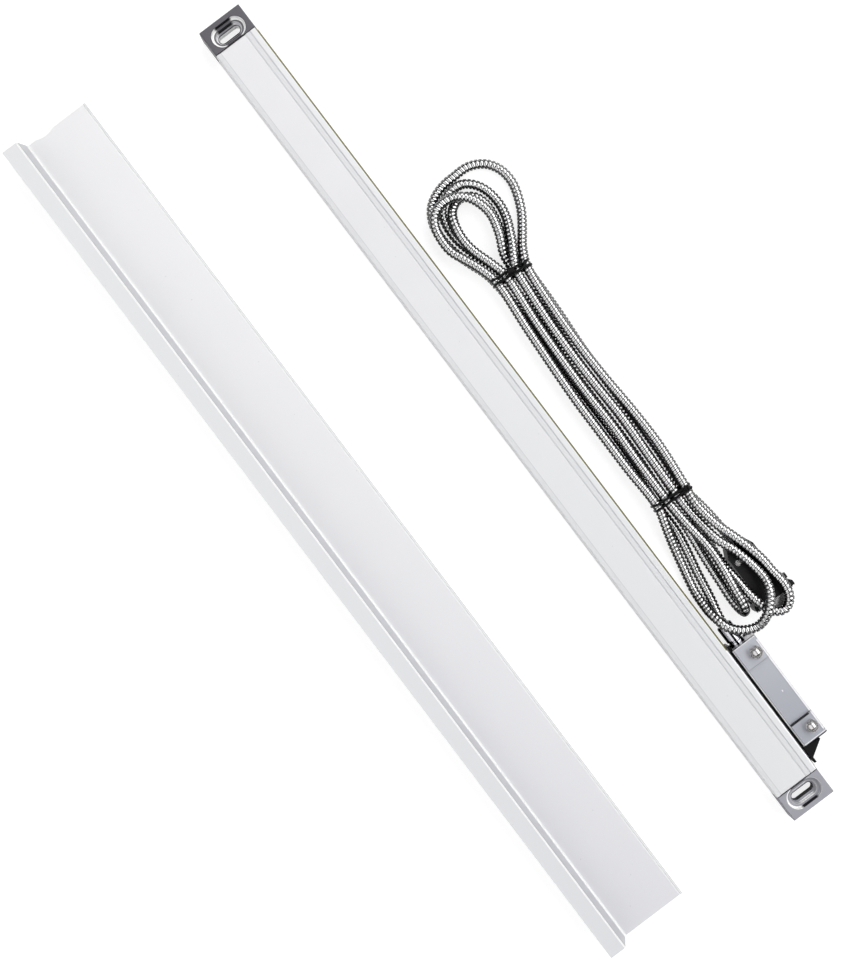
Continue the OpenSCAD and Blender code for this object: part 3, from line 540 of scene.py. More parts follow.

# tones of the painted highlights and painted shade that the lines and rings share
BRIGHT: Colour = (244, 244, 246)
BLACK: Colour = (16, 16, 18)
WHITE: Colour = (255, 255, 255)
STREAKS: dict[str, tuple[Streak, ...]] = {
    "anodised_aluminium": (
        # the housing: painted shade in its top recesses and at their steps, painted highlights
        # along its +Y edge, a painted reflection of the olive lip seal on that edge, and painted
        # shade on the edge past the head's strip
        Streak("Y", -14.3, 1.7, 0.6, (216, 217, 219), 0.4),
        Streak("Y", 9.9, 1.5, 0.5, (214, 215, 218), 0.4),
        Streak("Y", -12.5, 0.35, 0.6), Streak("Y", 8.2, 0.35, 0.6), Streak("Y", 11.6, 0.35, 0.55),
        Streak("Y", 14.8, 0.3, 0.6, BRIGHT),
        Streak("Y", 15.7, 0.55, 1.0, (118, 112, 64), 0.15, "Z", 19.3, 20.2),
        Streak("Y", 15.6, 0.7, 1.0, BRIGHT, 0.1, "X", 206.0, 303.0),
        Streak("Y", 15.85, 0.25, 1.0, (46, 46, 48), 0.1, "X", 299.5, 303.0),
    ),
    "cover_aluminium": (
        # the dust cover: painted shade on its upright web and in its folds, and painted highlights
        # along the folds' corners
        Streak("Z", 11.0, 9.4, 0.9, (192, 193, 197), 1.2),
        Streak("Z", 19.6, 1.2, 0.7, (148, 149, 153), 1.0),
        Streak("Z", 2.4, 1.0, 0.6, (148, 149, 153), 1.0),
        Streak("Z", 21.6, 1.0, 0.5, (218, 220, 222), 0.3),
        Streak("Y", -153.6, 0.6, 1.0, WHITE, 0.3),
        Streak("Y", -149.9, 0.9, 1.0, WHITE, 0.4),
        Streak("Y", -104.2, 1.4, 0.8, WHITE, 0.8),
    ),
    "satin_casting": (
        # the head: painted shade lines at its steps and ends, painted highlights along its edges
        # and on its end face, and a small bright mark on its lid
        Streak("X", 270.8, 0.55, 1.0, BLACK, 0.2, "Y", 19.2, 33.6),
        Streak("X", 225.8, 0.3, 0.7, (132, 134, 142), 0.2, "Y", 19.2, 33.6),
        Streak("Y", 34.6, 0.3, 0.5, (140, 142, 150), 0.2, "X", 212.0, 284.0),
        Streak("Y", 35.6, 0.8, 0.9, BRIGHT, 0.3, "X", 212.0, 284.5),
        Streak("X", 209.2, 0.4, 0.8, BRIGHT, 0.3), Streak("X", 285.9, 0.5, 0.9, BRIGHT, 0.3),
        Streak("X", 286.9, 0.55, 1.0, BLACK, 0.15),
        Streak("X", 208.8, 0.15, 1.0, BLACK, 0.05, "Z", 16.9, 19.4),
        Streak("X", 208.8, 0.15, 0.85, (240, 240, 243), 0.05, "Z", -1.0, 16.9),
        Streak("X", 249.3, 0.9, 0.9, BRIGHT, 0.5, "Y", 28.6, 29.3),
    ),
    "black_coat": (
        # painted highlight: the head's lit edge painted along the black strip beside it
        Streak("Y", 18.75, 0.5, 1.0, WHITE, 0.12, "X", 209.5, 287.0),
    ),
    "polished_steel": (
        # painted reflections: dark stripes along the ferrule, as a polished cylinder mirrors dark
        # surroundings
        Streak("Y", 20.3, 1.1, 1.0, BLACK, 0.3), Streak("Y", 24.6, 0.8, 1.0, BLACK, 0.3),
        Streak("Y", 29.0, 1.1, 1.0, BLACK, 0.3),
    ),
}


def slot_rings(x_mm: float, *rows: tuple) -> tuple[Ring, ...]:
    """Makes the rings of one slot, whose middle lies at x_mm."""
    return tuple(Ring(x_mm, *row) for row in rows)


RINGS: dict[str, tuple[Ring, ...]] = {
    # painted highlights on the round ends of the blocks' stepped slots and painted shade on their
    # walls and sides, a lean keeping a mark on one end only
    "dark_casting": slot_rings(
        -310.5,
        (5.2, 7.25, 0.3, True, (52, 52, 54)),
        (5.2, 6.35, 0.85, True, WHITE), (5.2, 7.0, 0.4, False, BLACK),
        (4.8, 4.2, 0.7, True, (232, 232, 235)),
        (4.8, 4.8, 0.35, False, BLACK),
        (4.8, 3.8, 0.5, False, (178, 178, 184), 0.7),
        (5.45, 2.85, 0.3, True, BLACK), (5.45, 2.85, 0.3, False, BLACK),
        (5.45, 2.45, 0.2, True, WHITE), (5.45, 2.45, 0.2, False, WHITE),
    ),
    "pale_casting": slot_rings(
        310.5,
        (5.2, 6.8, 0.7, True, WHITE, 1.0, -1.0),
        (5.2, 7.0, 0.3, True, (226, 226, 230), 0.6, 1.0),
        (5.2, 6.9, 0.55, False, BLACK),
        (4.8, 4.75, 0.4, False, WHITE, 1.0),
        (4.8, 4.8, 0.3, True, WHITE, 0.35),
        (5.45, 2.55, 0.4, True, BLACK), (5.45, 2.55, 0.4, False, BLACK),
    ),
}
# painted light: each part lighter at one end and darker towards the other, as the light falls off
PAINTED_LIGHT_FADES: dict[str, Fade] = {
    "cover_aluminium": Fade("X", -330.0, 320.0, (230, 230, 234)),
    "anodised_aluminium": Fade("X", -300.0, 150.0, (226, 227, 229)),
    "satin_casting": Fade("X", 225.0, 268.0, (174, 176, 185)),
}
# finishes that read painted shade from their mesh: the conduit, darker in its grooves, on its
# flanks and along its top line
PAINTED_SHADE_ATTRIBUTES: dict[str, str] = {"conduit_steel": "groove"}


@dataclass
class FinishShop:
    """Holds the materials and puts them on the pieces."""

    materials: dict[str, bpy.types.Material] = field(default_factory=dict)

    def build(self) -> None:
        """Builds the shared effects and one material for each finish."""
        EFFECTS.build()
        for kind in FINISHES:
            paint = Paint(
                kind, STREAKS.get(kind.slot, ()), RINGS.get(kind.slot, ()), PAINTED_LIGHT_FADES.get(kind.slot),
                PAINTED_SHADE_ATTRIBUTES.get(kind.slot, ""),
            )
            self.materials[kind.slot] = paint.build()

    def dress(self, piece: bpy.types.Object, slot: str) -> None:
        """Gives a piece the material of a slot.

        Args:
            piece: the mesh object.
            slot: name of the record's material slot.
        """
        piece.data.materials.clear()
        piece.data.materials.append(self.materials[slot])

    def dress_nodes(self) -> None:
        """Gives every carried-over node the finish that the record names for it."""
        for part in frame["record"]["subparts"]:
            node = frame["nodes"][part["node"]]
            for place in node.material_slots:
                place.material = self.materials[part["material_slot"]]
            LOG.info("%s: %s", part["node"], part["material_slot"])


SHOP = FinishShop()


def clear_selection() -> None:
    """Leaves object mode with nothing selected."""
    if bpy.context.object and bpy.context.object.mode != "OBJECT":
        bpy.ops.object.mode_set(mode="OBJECT")
    bpy.ops.object.select_all(action="DESELECT")


def spline(points: np.ndarray, step: float) -> np.ndarray:
    """Draws one smooth line through points and divides it evenly.

    Args:
        points: the points it passes through.
        step: distance between the points returned.

    Returns:
        Evenly spaced points on the line.
    """
    rows = np.vstack([2 * points[0] - points[1], points, 2 * points[-1] - points[-2]])
    line: list[np.ndarray] = []
    for a, b, c, d in zip(rows[:-3], rows[1:-2], rows[2:-1], rows[3:]):
        t1 = np.linalg.norm(b - a) ** 0.5
        t2 = t1 + np.linalg.norm(c - b) ** 0.5
        t3 = t2 + np.linalg.norm(d - c) ** 0.5
        for t in np.linspace(t1, t2, SPAN_STEPS, endpoint=False):
            ab = a + (b - a) * t / t1
            bc = b + (c - b) * (t - t1) / (t2 - t1)
            cd = c + (d - c) * (t - t2) / (t3 - t2)
            low = ab + (bc - ab) * t / t2
            high = bc + (cd - bc) * (t - t1) / (t3 - t1)
            line.append(low + (high - low) * (t - t1) / (t2 - t1))
    line.append(points[-1])
    return even(np.array(line), step)


def even(line: np.ndarray, step: float) -> np.ndarray:
    """Divides a line of points evenly.

    Args:
        line: the points.
        step: distance between the points returned.

    Returns:
        Evenly spaced points.
    """
    far = np.r_[0, np.cumsum(np.linalg.norm(np.diff(line, axis=0), axis=1))]
    at = np.linspace(0, far[-1], int(round(far[-1] / step)) + 1)
    return np.stack([np.interp(at, far, line[:, k]) for k in range(3)], 1)


# boxes that the cable stays out of, by their low and high corners in millimetres: the plug's
# hood, its flange and its shell, the housing, the head's body and the head's foot
BLOCKS: tuple[tuple[Point, Point], ...] = (
    ((155, 52.8, 0), (199, 72.4, 15)), ((194, 47.1, 0), (200, 78.1, 15)),
    ((200, 54, 3.3), (206, 71.2, 11.7)), ((-330, -16, 0), (330, 17.1, 20)),
    ((208.8, 19, 1), (287, 36.4, 20)), ((205, 17.5, 3), (300, 19, 17)),
)
# rods that it stays out of, by their ends and radius: thumbscrews, ferrule and collar
RODS: tuple[tuple[Point, Point, float], ...] = (
    ((190.2, 50.1, 7.5), (193.7, 50.1, 7.5), 3.0),
    ((190.2, 75.1, 7.5), (193.7, 75.1, 7.5), 3.0),
    ((193, 25.2, 9.7), (208.8, 25.2, 9.7), 5.5),
    ((149, 62.6, 7.5), (155, 62.6, 7.5), 5.0),
)


@dataclass
class CableLay:
    """Route of the folded cable, in millimetres: eight runs between two ties, with loops.

    The runs lie in four columns, A to D, in two rows. The lead comes from the head, and the
    tail goes to the plug. Each height pair is that of a run and of its ends at the ties.
    The route is settled in rounds, of which the last ones even it out less. Points near its
    two ends stay where they are.
    """

    diameter: float = 7.0
    tie_x: tuple[float, float] = (-75.0, 106.0)
    upper_columns: tuple[float, ...] = (42.5, 49.5, 56.5, 63.5)
    lower_columns: tuple[float, ...] = (38.0, 45.0, 52.0, 59.0)
    run_x: tuple[float, ...] = (-40, -5, 20, 45, 75)
    low_heights: tuple[float, float] = (3.6, 4.9)
    top_heights: tuple[float, float] = (10.6, 11.9)
    top_runs: tuple[tuple[float, ...], ...] = (
        (40, 38, 37, 37, 37), (47, 45.6, 45.4, 46, 45), (54, 53, 53.3, 54.2, 53),
        (61.3, 60.3, 60.9, 62.2, 62.3),
    )
    low_runs: tuple[tuple[float, ...], ...] = (
        (42, 40, 40, 40, 39.5), (49, 47, 47, 47.2, 46.7), (56, 54, 54, 54.3, 53.9),
        (63, 61, 61, 61.4, 60.9),
    )
    lead: tuple[Point, ...] = (
        (193, 25.2, 9.7), (186, 26.2, 9), (176, 29, 6), (166, 31, 4.2), (154, 33, 3.6),
        (143, 35, 3.6), (129, 37, 3.6),
    )
    tail: tuple[Point, ...] = (
        (109, 59, 5), (118, 60.5, 5), (128, 61.8, 5.8), (139, 62.6, 6.8), (149, 62.6, 7.5),
    )
    wide_loop: tuple[Point, ...] = (
        (-86, 41, 4), (-95, 37, 3.6), (-106, 33, 3.6), (-119, 30.8, 3.6), (-130.5, 31.8, 3.6),
        (-139.1, 37.5, 3.6), (-144.6, 47.3, 3.6), (-147.4, 60.1, 3.6), (-148.9, 73.5, 3.6),
        (-143.6, 84.6, 3.6), (-134.3, 90.4, 3.6), (-123.4, 91.4, 3.6), (-113.3, 88.6, 3.6),
        (-103, 83.6, 4), (-93, 75.7, 7), (-83.5, 67.2, 10.5),
    )
    second_loop: tuple[Point, ...] = (
        (-84, 61.5, 11), (-96, 66.5, 8), (-109, 72, 5), (-121.5, 74.5, 3.6), (-132, 73, 3.6),
        (-139, 69, 3.6), (-144, 63, 4.5), (-145.4, 55, 7), (-143.2, 47.5, 7.5),
        (-138, 41, 5), (-127, 38, 3.6), (-114, 38, 3.6), (-101, 41.5, 3.6), (-90, 45.5, 4),
    )
    over_loop: tuple[Point, ...] = (
        (-86, 59, 6), (-95.5, 63, 9.5), (-105, 65.5, 10), (-114, 67, 10.3),
        (-123, 65.5, 10.6), (-131, 62, 11), (-137, 56, 12), (-139.5, 49, 13),
        (-139.5, 42, 13), (-136.5, 35.5, 12), (-130, 31, 11.2), (-120, 29.3, 11),
        (-110, 30, 10.6), (-101, 34, 11), (-89, 39.5, 11.5),
    )
    inner_loop: tuple[Point, ...] = (
        (-84, 47.5, 12), (-92.5, 44.5, 12), (-102.5, 41.5, 12), (-112, 40.5, 11.5),
        (-124, 42.5, 11.5), (-132, 46.5, 8), (-136, 53, 5), (-135, 61, 3.6), (-129, 67.5, 3.6),
        (-119, 70, 3.6), (-104, 67, 4), (-88, 61.5, 4.5),
    )
    great_loop: tuple[Point, ...] = (
        (116, 36, 9.5), (126, 33.5, 7), (137, 30.5, 5), (151.5, 27.2, 4), (165.5, 23.8, 5.5),
        (178, 22.8, 11), (186.5, 23, 16.5), (195.5, 25, 19), (203, 32, 20), (206.5, 42, 22),
        (202.5, 52, 25), (192, 61.7, 26), (182, 65.3, 22.5), (171, 65, 19.5), (159, 61.4, 18.6),
        (145.5, 54.5, 17), (129.5, 51.5, 13.5), (118, 51.5, 12),
    )
    outer_loop: tuple[Point, ...] = (
        (114, 57, 14), (122.5, 57, 16.5), (137, 59.6, 18.8), (149.5, 63.4, 19.5),
        (163, 66.3, 19.5), (173, 68.3, 20), (183, 69.7, 21.5), (194, 71.8, 23), (204.4, 69.3, 21.5),
        (209.2, 62.3, 18.8), (204, 54, 18.8), (194.5, 51, 18.8), (184, 49, 18.8),
        (172, 48, 17.5), (159, 48.5, 12), (148, 50, 6.5), (138, 52.5, 4), (124, 52.5, 4),
    )
    short_loop: tuple[Point, ...] = (
        (116, 45.3, 4.5), (127.5, 45, 4), (138.5, 44, 3.6), (151.5, 42.5, 4), (163, 41.6, 4.2),
        (173.5, 40.8, 5), (183, 39.8, 7), (192, 39.8, 10.5), (196, 41, 15.5), (191, 42.7, 20.5),
        (180, 44.8, 21), (164, 46.8, 20), (148.5, 48.3, 17), (131.5, 48.5, 13.5), (118, 46.5, 12),
    )
    step: float = 3.0
    rounds: int = 200
    last_rounds: int = 40
    search_every: int = 8
    search_reach: float = 13.0
    own_diameters: float = 2.7
    fixed_lengths: tuple[float, float] = (40.0, 42.0)
    pull: Point = (0.02, 0.02, 0.006)
    sink: float = 0.02
    stiffness: float = 0.12
    pushes: int = 3
    touch_gap: float = 0.05
    push_gap: float = 0.06
    push_gain: float = 1.3
    solid_gap: float = 0.02
    floor_gap: float = 0.03
    tiny: float = 1e-9
    inside: float = 1e-6

    def run(self, column: int, top: bool, to_plug: bool) -> list[Point]:
        """One run between the ties.

        Args:
            column: 0 to 3, for A to D.
            top: whether the run lies in the upper row.
            to_plug: whether it goes towards the plug's end.

        Returns:
            Its points, in order.
        """
        across = (self.top_runs if top else self.low_runs)[column]
        z, at_tie = self.top_heights if top else self.low_heights
        points = [(self.tie_x[0], self.upper_columns[column], at_tie)]
        points += [(x, y, z) for x, y in zip(self.run_x, across)]
        points += [(self.tie_x[1], self.lower_columns[column], at_tie)]
        return points if to_plug else points[::-1]

    def course(self) -> np.ndarray:
        """All points of the route, from the head to the plug.

        Returns:
            The points, in order.
        """
        order = (
            (0, False, self.wide_loop), (3, True, self.outer_loop), (2, False, self.over_loop),
            (0, True, self.great_loop), (2, True, self.second_loop),
            (1, False, self.short_loop), (1, True, self.inner_loop),
        )
        points = list(self.lead)
        for number, (column, top, loop) in enumerate(order):
            points += self.run(column, top, number % 2 == 1) + list(loop)
        points += self.run(3, False, True)[:-1] + list(self.tail)
        return np.array(points, float)

    def solve(self) -> np.ndarray:
        """Settles the route, so that it lies beside and on itself without sinking in.

        Returns:
            Points one step apart on the settled line.
        """
        aim = spline(self.course(), self.step)
        line = aim.copy()
        count = len(aim)
        far = np.arange(count) * self.step
        free = np.ones(count)
        free[far < self.fixed_lengths[0]] = 0
        free[far > far[-1] - self.fixed_lengths[1]] = 0
        gap = int(math.ceil(self.own_diameters * self.diameter / self.step))
        first = second = np.zeros(0, int)
        for turn in range(self.rounds):
            if turn % self.search_every == 0:
                apart = ((line[:, None, :] - line[None, :, :]) ** 2).sum(-1)
                first, second = np.nonzero(np.triu(apart < self.search_reach**2, gap))
            moved = (line - aim) * (1 - np.array(self.pull))
            moved[:, 2] -= self.sink
            for _ in range(2 if turn < self.rounds - self.last_rounds else 1):
                moved[1:-1] = 0.25 * moved[:-2] + 0.5 * moved[1:-1] + 0.25 * moved[2:]
            line = aim + moved * free[:, None]
            bow = np.zeros_like(line)
            bow[1:-1] = 0.5 * (line[:-2] + line[2:]) - line[1:-1]
            line += self.stiffness * bow * free[:, None]
            for _ in range(self.pushes):
                line = self.part(line, first, second, free)
                line = self.clear_of_solids(line, free)
        return line

    def part(self, line: np.ndarray, first: np.ndarray, second: np.ndarray,
             free: np.ndarray) -> np.ndarray:
        """Pushes stretches of the cable apart where they lie closer than a diameter.

        Args:
            line: the points now.
            first: one end of each near pair.
            second: the other end of each near pair.
            free: 1 where a point may move.

        Returns:
            The moved points.
        """
        away = line[first] - line[second]
        size = np.linalg.norm(away, axis=1) + self.tiny
        close = size < self.diameter + self.touch_gap
        i, j = first[close], second[close]
        if not len(i):
            return line
        weight = free[i] + free[j] + self.tiny
        push = ((self.diameter + self.push_gap - size[close]) / size[close] / weight)[:, None]
        push = push * away[close]
        total, hits = np.zeros_like(line), np.zeros(len(line))
        np.add.at(total, i, push * free[i][:, None])
        np.add.at(total, j, -push * free[j][:, None])
        np.add.at(hits, i, 1)
        np.add.at(hits, j, 1)
        return line + self.push_gain * total / np.maximum(hits, 1)[:, None]

    def clear_of_solids(self, line: np.ndarray, free: np.ndarray) -> np.ndarray:
        """Keeps the cable out of the floor, the plug, the head and the housing.

        Args:
            line: the points now.
            free: 1 where a point may move.

        Returns:
            The moved points.
        """
        reach = self.diameter / 2 + self.solid_gap
        line[:, 2] = np.where(
            free > 0, np.maximum(line[:, 2], reach + self.floor_gap), line[:, 2]
        )
        for low, high in BLOCKS:
            near = np.clip(line, low, high)
            away = line - near
            size = np.linalg.norm(away, axis=1)
            out = (size < reach) & (size > self.inside) & (free > 0)
            line[out] = near[out] + away[out] / size[out][:, None] * reach
            line[(size <= self.inside) & (free > 0), 2] = high[2] + reach
        for start, end, radius in RODS:
            a, b = np.array(start), np.array(end)
            along = np.clip(((line - a) @ (b - a)) / ((b - a) @ (b - a)), 0, 1)
            near = a + along[:, None] * (b - a)
            away = line - near
            size = np.linalg.norm(away, axis=1) + self.tiny
            out = (size < reach + radius) & (free > 0)
            line[out] = near[out] + away[out] / size[out][:, None] * (reach + radius)
        return line


@dataclass
class ArmouredCable:
    """The armoured cable: one tube with the spiral ridge of its steel conduit.

    Each step of the profile is a place along one turn, as a share of the pitch, its depth, as
    a share of the full depth, and how dark it is, as painted shade in the grooves. Faces that
    look up less than flank_start get darker, down to flank_end, as a painted reflection of dark
    surroundings on the flanks, and so do those that look straight up, past seam_start, as a
    painted reflection of the gap between the lamps overhead.
    """

    lay: CableLay = field(default_factory=CableLay)
    line_step: float = 0.8
    path_step: float = 2.0
    pitch: float = 2.75
    depth: float = 1.15
    sides: int = 16
    profile: tuple[Point, ...] = (
        (0.0, 1.0, 1.0), (0.24, 0.12, 0.0), (0.48, 0.22, 0.72), (0.7, 0.12, 0.0),
    )
    # painted reflection: flanks darker where they face away from the lamps, and a dark line along
    # the top for the gap between the lamps
    flank_start: float = 0.82
    flank_end: float = 0.62
    flank_dark: float = 0.92
    seam_start: float = 0.985
    seam_width: float = 0.012
    seam_dark: float = 0.15
    merge_gap: float = 2e-6
    least_edge: float = 1e-6
    line: np.ndarray = field(default_factory=lambda: np.zeros((0, 3)))
    length: float = 0.0

    def build(self) -> bpy.types.Object:
        """Builds the tube and dresses it.

        Returns:
            The cable.
        """
        line = spline(self.lay.solve(), self.line_step)
        length = float(np.linalg.norm(np.diff(line, axis=0), axis=1).sum())
        tube = self.tube(line, length)
        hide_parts("cable_lead", "cable_hank", "cable_tail")
        SHOP.dress(tube, "conduit_steel")
        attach(tube, "head")
        self.line = even(line, self.path_step) * MM
        self.length = length * MM
        LOG.info("armoured cable: %.0f mm long", length)
        return tube

    def frames(self, line: np.ndarray) -> tuple[np.ndarray, np.ndarray]:
        """Two cross directions at each point, turning as little as they can.

        Args:
            line: points on the centre line.

        Returns:
            The first and the second direction at each point.
        """
        along = np.gradient(line, axis=0)
        along /= np.linalg.norm(along, axis=1)[:, None]
        side = np.zeros_like(line)
        now = np.array([0.0, 0.0, 1.0])
        for i, ahead in enumerate(along):
            now = now - ahead * (now @ ahead)
            now /= np.linalg.norm(now)
            side[i] = now
        return side, np.cross(along, side)

    def tube(self, line: np.ndarray, length: float) -> bpy.types.Object:
        """Builds the ridged tube, whose edges follow the spiral.

        Args:
            line: points on the centre line.
            length: its length in millimetres.

        Returns:
            The tube as a mesh object.
        """
        far = np.linspace(0, length, len(line))
        steps = len(self.profile)
        rows = (int(math.ceil(length / self.pitch)) + 1) * steps + 1
        k = np.arange(rows)
        shape = np.array(self.profile)[k % steps]
        share = np.arange(self.sides) / self.sides
        at = (k // steps + shape[:, 0] - 1.0)[:, None] * self.pitch
        inside = np.clip(at + share[None, :] * self.pitch, 0, length)
        centre, one, two = (
            np.stack([np.interp(inside, far, given[:, c]) for c in range(3)], -1)
            for given in (line, *self.frames(line))
        )
        radius = self.lay.diameter / 2 - self.depth * shape[:, 1][:, None]
        angle = share * 2 * math.pi
        turn = one * np.cos(angle)[None, :, None] + two * np.sin(angle)[None, :, None]
        spot = (centre + turn * radius[..., None]).reshape(-1, 3) * MM
        mesh = bpy.data.meshes.new("armoured_cable")
        mesh.from_pydata(spot.tolist(), [], self.faces(rows))
        self.shade(mesh, shape[:, 2], turn[..., 2])
        self.close(mesh)
        piece = bpy.data.objects.new("armoured_cable", mesh)
        bpy.context.scene.collection.objects.link(piece)
        return piece

    def faces(self, rows: int) -> list[tuple[int, ...]]:
        """Joins rows of points into faces, with the end of each row on the next turn.

        Args:
            rows: how many rows there are.

        Returns:
            The numbers of the points of each face.
        """
        out: list[tuple[int, ...]] = []
        for row in range(rows - 1):
            start = row * self.sides
            for low in range(start, start + self.sides - 1):
                out.append((low, low + 1, low + self.sides + 1, low + self.sides))
            if row + 1 + len(self.profile) < rows:
                last = start + self.sides - 1
                over = (row + len(self.profile)) * self.sides
                out.append((last, over, over + self.sides, last + self.sides))
        return out

    def shade(self, mesh: bpy.types.Mesh, depth_tone: np.ndarray, upward: np.ndarray) -> None:
        """Writes how dark each point is, as painted shade and painted reflection that the conduit's
        finish reads.

        Args:
            mesh: the tube's mesh.
            depth_tone: how dark each row is for its place on the profile, as painted shade in the
                grooves.
            upward: how far each point's side looks up, from -1 to 1.
        """
        span = self.flank_start - self.flank_end
        flank = np.clip((self.flank_start - upward) / span, 0, 1)
        seam = np.clip((upward - self.seam_start) / self.seam_width, 0, 1)
        tone = depth_tone[:, None] * np.ones(self.sides)
        tone = 1 - (1 - tone) * (1 - self.flank_dark * flank) * (1 - self.seam_dark * seam)
        groove = mesh.attributes.new(PAINTED_SHADE_ATTRIBUTES["conduit_steel"], "FLOAT", "POINT")
        groove.data.foreach_set("value", tone.ravel().astype(np.float32))

    def close(self, mesh: bpy.types.Mesh) -> None:
        """Merges the crowded points at the two ends, closes them and turns faces outwards.

        Args:
            mesh: the tube's mesh.
        """
        work = bmesh.new()
        work.from_mesh(mesh)
        bmesh.ops.remove_doubles(work, verts=work.verts, dist=self.merge_gap)
        bmesh.ops.dissolve_degenerate(work, edges=work.edges, dist=self.least_edge)
        bmesh.ops.holes_fill(work, edges=[e for e in work.edges if e.is_boundary], sides=0)
        bmesh.ops.recalc_face_normals(work, faces=work.faces)
        for face in work.faces:
            face.smooth = True
        work.to_mesh(mesh)
        work.free()


@dataclass
class WireTie:
    """A plastic-covered wire wound twice round the bundle, with a twisted knot.

    Lengths are in millimetres. The two turns come closer together near the knot, within
    pinch_reach of it. The knot is a small coil that gets narrower.
    """

    name: str
    node: str
    x: float
    y: float
    skew: float
    knot: Point
    knot_turns: float
    half_width: float = 14.1
    low: float = 0.9
    high: float = 16.2
    corner: float = 5.0
    corner_points: int = 6
    spread: float = 1.75
    pinch_reach: float = 9.0
    wobble: float = 0.2
    wobble_angle: float = 0.9
    knot_radius: float = 1.75
    knot_taper: float = 0.5
    knot_length: float = 3.6
    knot_flatness: float = 0.8
    knot_points: int = 12
    radius: float = 0.85
    curve_order: int = 3
    curve_steps: int = 3
    bevel_steps: int = 3

    def loop(self) -> list[Point]:
        """Points of the two turns round the bundle.

        Returns:
            The points, in millimetres.
        """
        wide, top, low = (
            self.half_width - self.corner, self.high - self.corner, self.low + self.corner
        )
        corners = ((wide, top, 0), (-wide, top, 90), (-wide, low, 180), (wide, low, 270))
        last = self.corner_points - 1
        ring: list[tuple[float, float]] = []
        for cy, cz, start in corners:
            for part in range(self.corner_points):
                turn = math.radians(start + part * 90 / last)
                ring.append((cy + self.corner * math.cos(turn), cz + self.corner * math.sin(turn)))
        ring = ring[last:] + ring[:last]
        points: list[Point] = []
        total = 2 * len(ring)
        for i in range(total + 1):
            dy, z = ring[i % len(ring)]
            off = abs(self.y + dy - self.knot[1])
            pinch = 0.5 + 0.5 * min(1.0, off / self.pinch_reach)
            aside = self.spread * pinch * (1 if 2 * i >= total else -1)
            wave = self.wobble * math.sin(i * self.wobble_angle)
            points.append((self.x + aside + self.skew * dy + wave, self.y + dy, z))
        return points

    def twist(self) -> list[Point]:
        """Points of the knot, a small coil that runs out to a cut end.

        Returns:
            The points, in millimetres.
        """
        points: list[Point] = []
        count = int(self.knot_turns * self.knot_points)
        for i in range(count + 1):
            turn = i / self.knot_points * 2 * math.pi
            wide = self.knot_radius - self.knot_taper * i / count
            along = i / count - 0.5
            points.append((
                self.knot[0] + wide * math.cos(turn) + along,
                self.knot[1] + self.knot_length * along,
                self.knot[2] + wide * self.knot_flatness * math.sin(turn),
            ))
        return points

    def build(self) -> bpy.types.Object:
        """Builds the tie from its two wires and dresses it.

        Returns:
            The tie.
        """
        parts = [self.wire(self.loop()), self.wire(self.twist())]
        clear_selection()
        for part in parts:
            part.select_set(True)
        bpy.context.view_layer.objects.active = parts[0]
        bpy.ops.object.join()
        tie = bpy.context.object
        tie.name = self.name
        tie.data.name = self.name
        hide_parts(self.node)
        SHOP.dress(tie, "tie_plastic")
        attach(tie, "head")
        LOG.info("%s at X %.0f mm", self.name, self.x)
        return tie

    def wire(self, points: list[Point]) -> bpy.types.Object:
        """Makes a round wire along points, as a mesh.

        Args:
            points: the wire's line in millimetres.

        Returns:
            The wire as a mesh object.
        """
        clear_selection()
        bpy.ops.curve.primitive_nurbs_path_add()
        path = bpy.context.object.data
        strand = path.splines[0]
        strand.points.add(len(points) - len(strand.points))
        for spot, (x, y, z) in zip(strand.points, points):
            spot.co = (x * MM, y * MM, z * MM, 1.0)
        strand.order_u = self.curve_order
        strand.use_endpoint_u = True
        strand.resolution_u = self.curve_steps
        path.dimensions = "3D"
        path.bevel_depth = self.radius * MM
        path.bevel_resolution = self.bevel_steps
        path.use_fill_caps = True
        bpy.ops.object.convert(target="MESH")
        bpy.ops.object.shade_smooth()
        return bpy.context.object


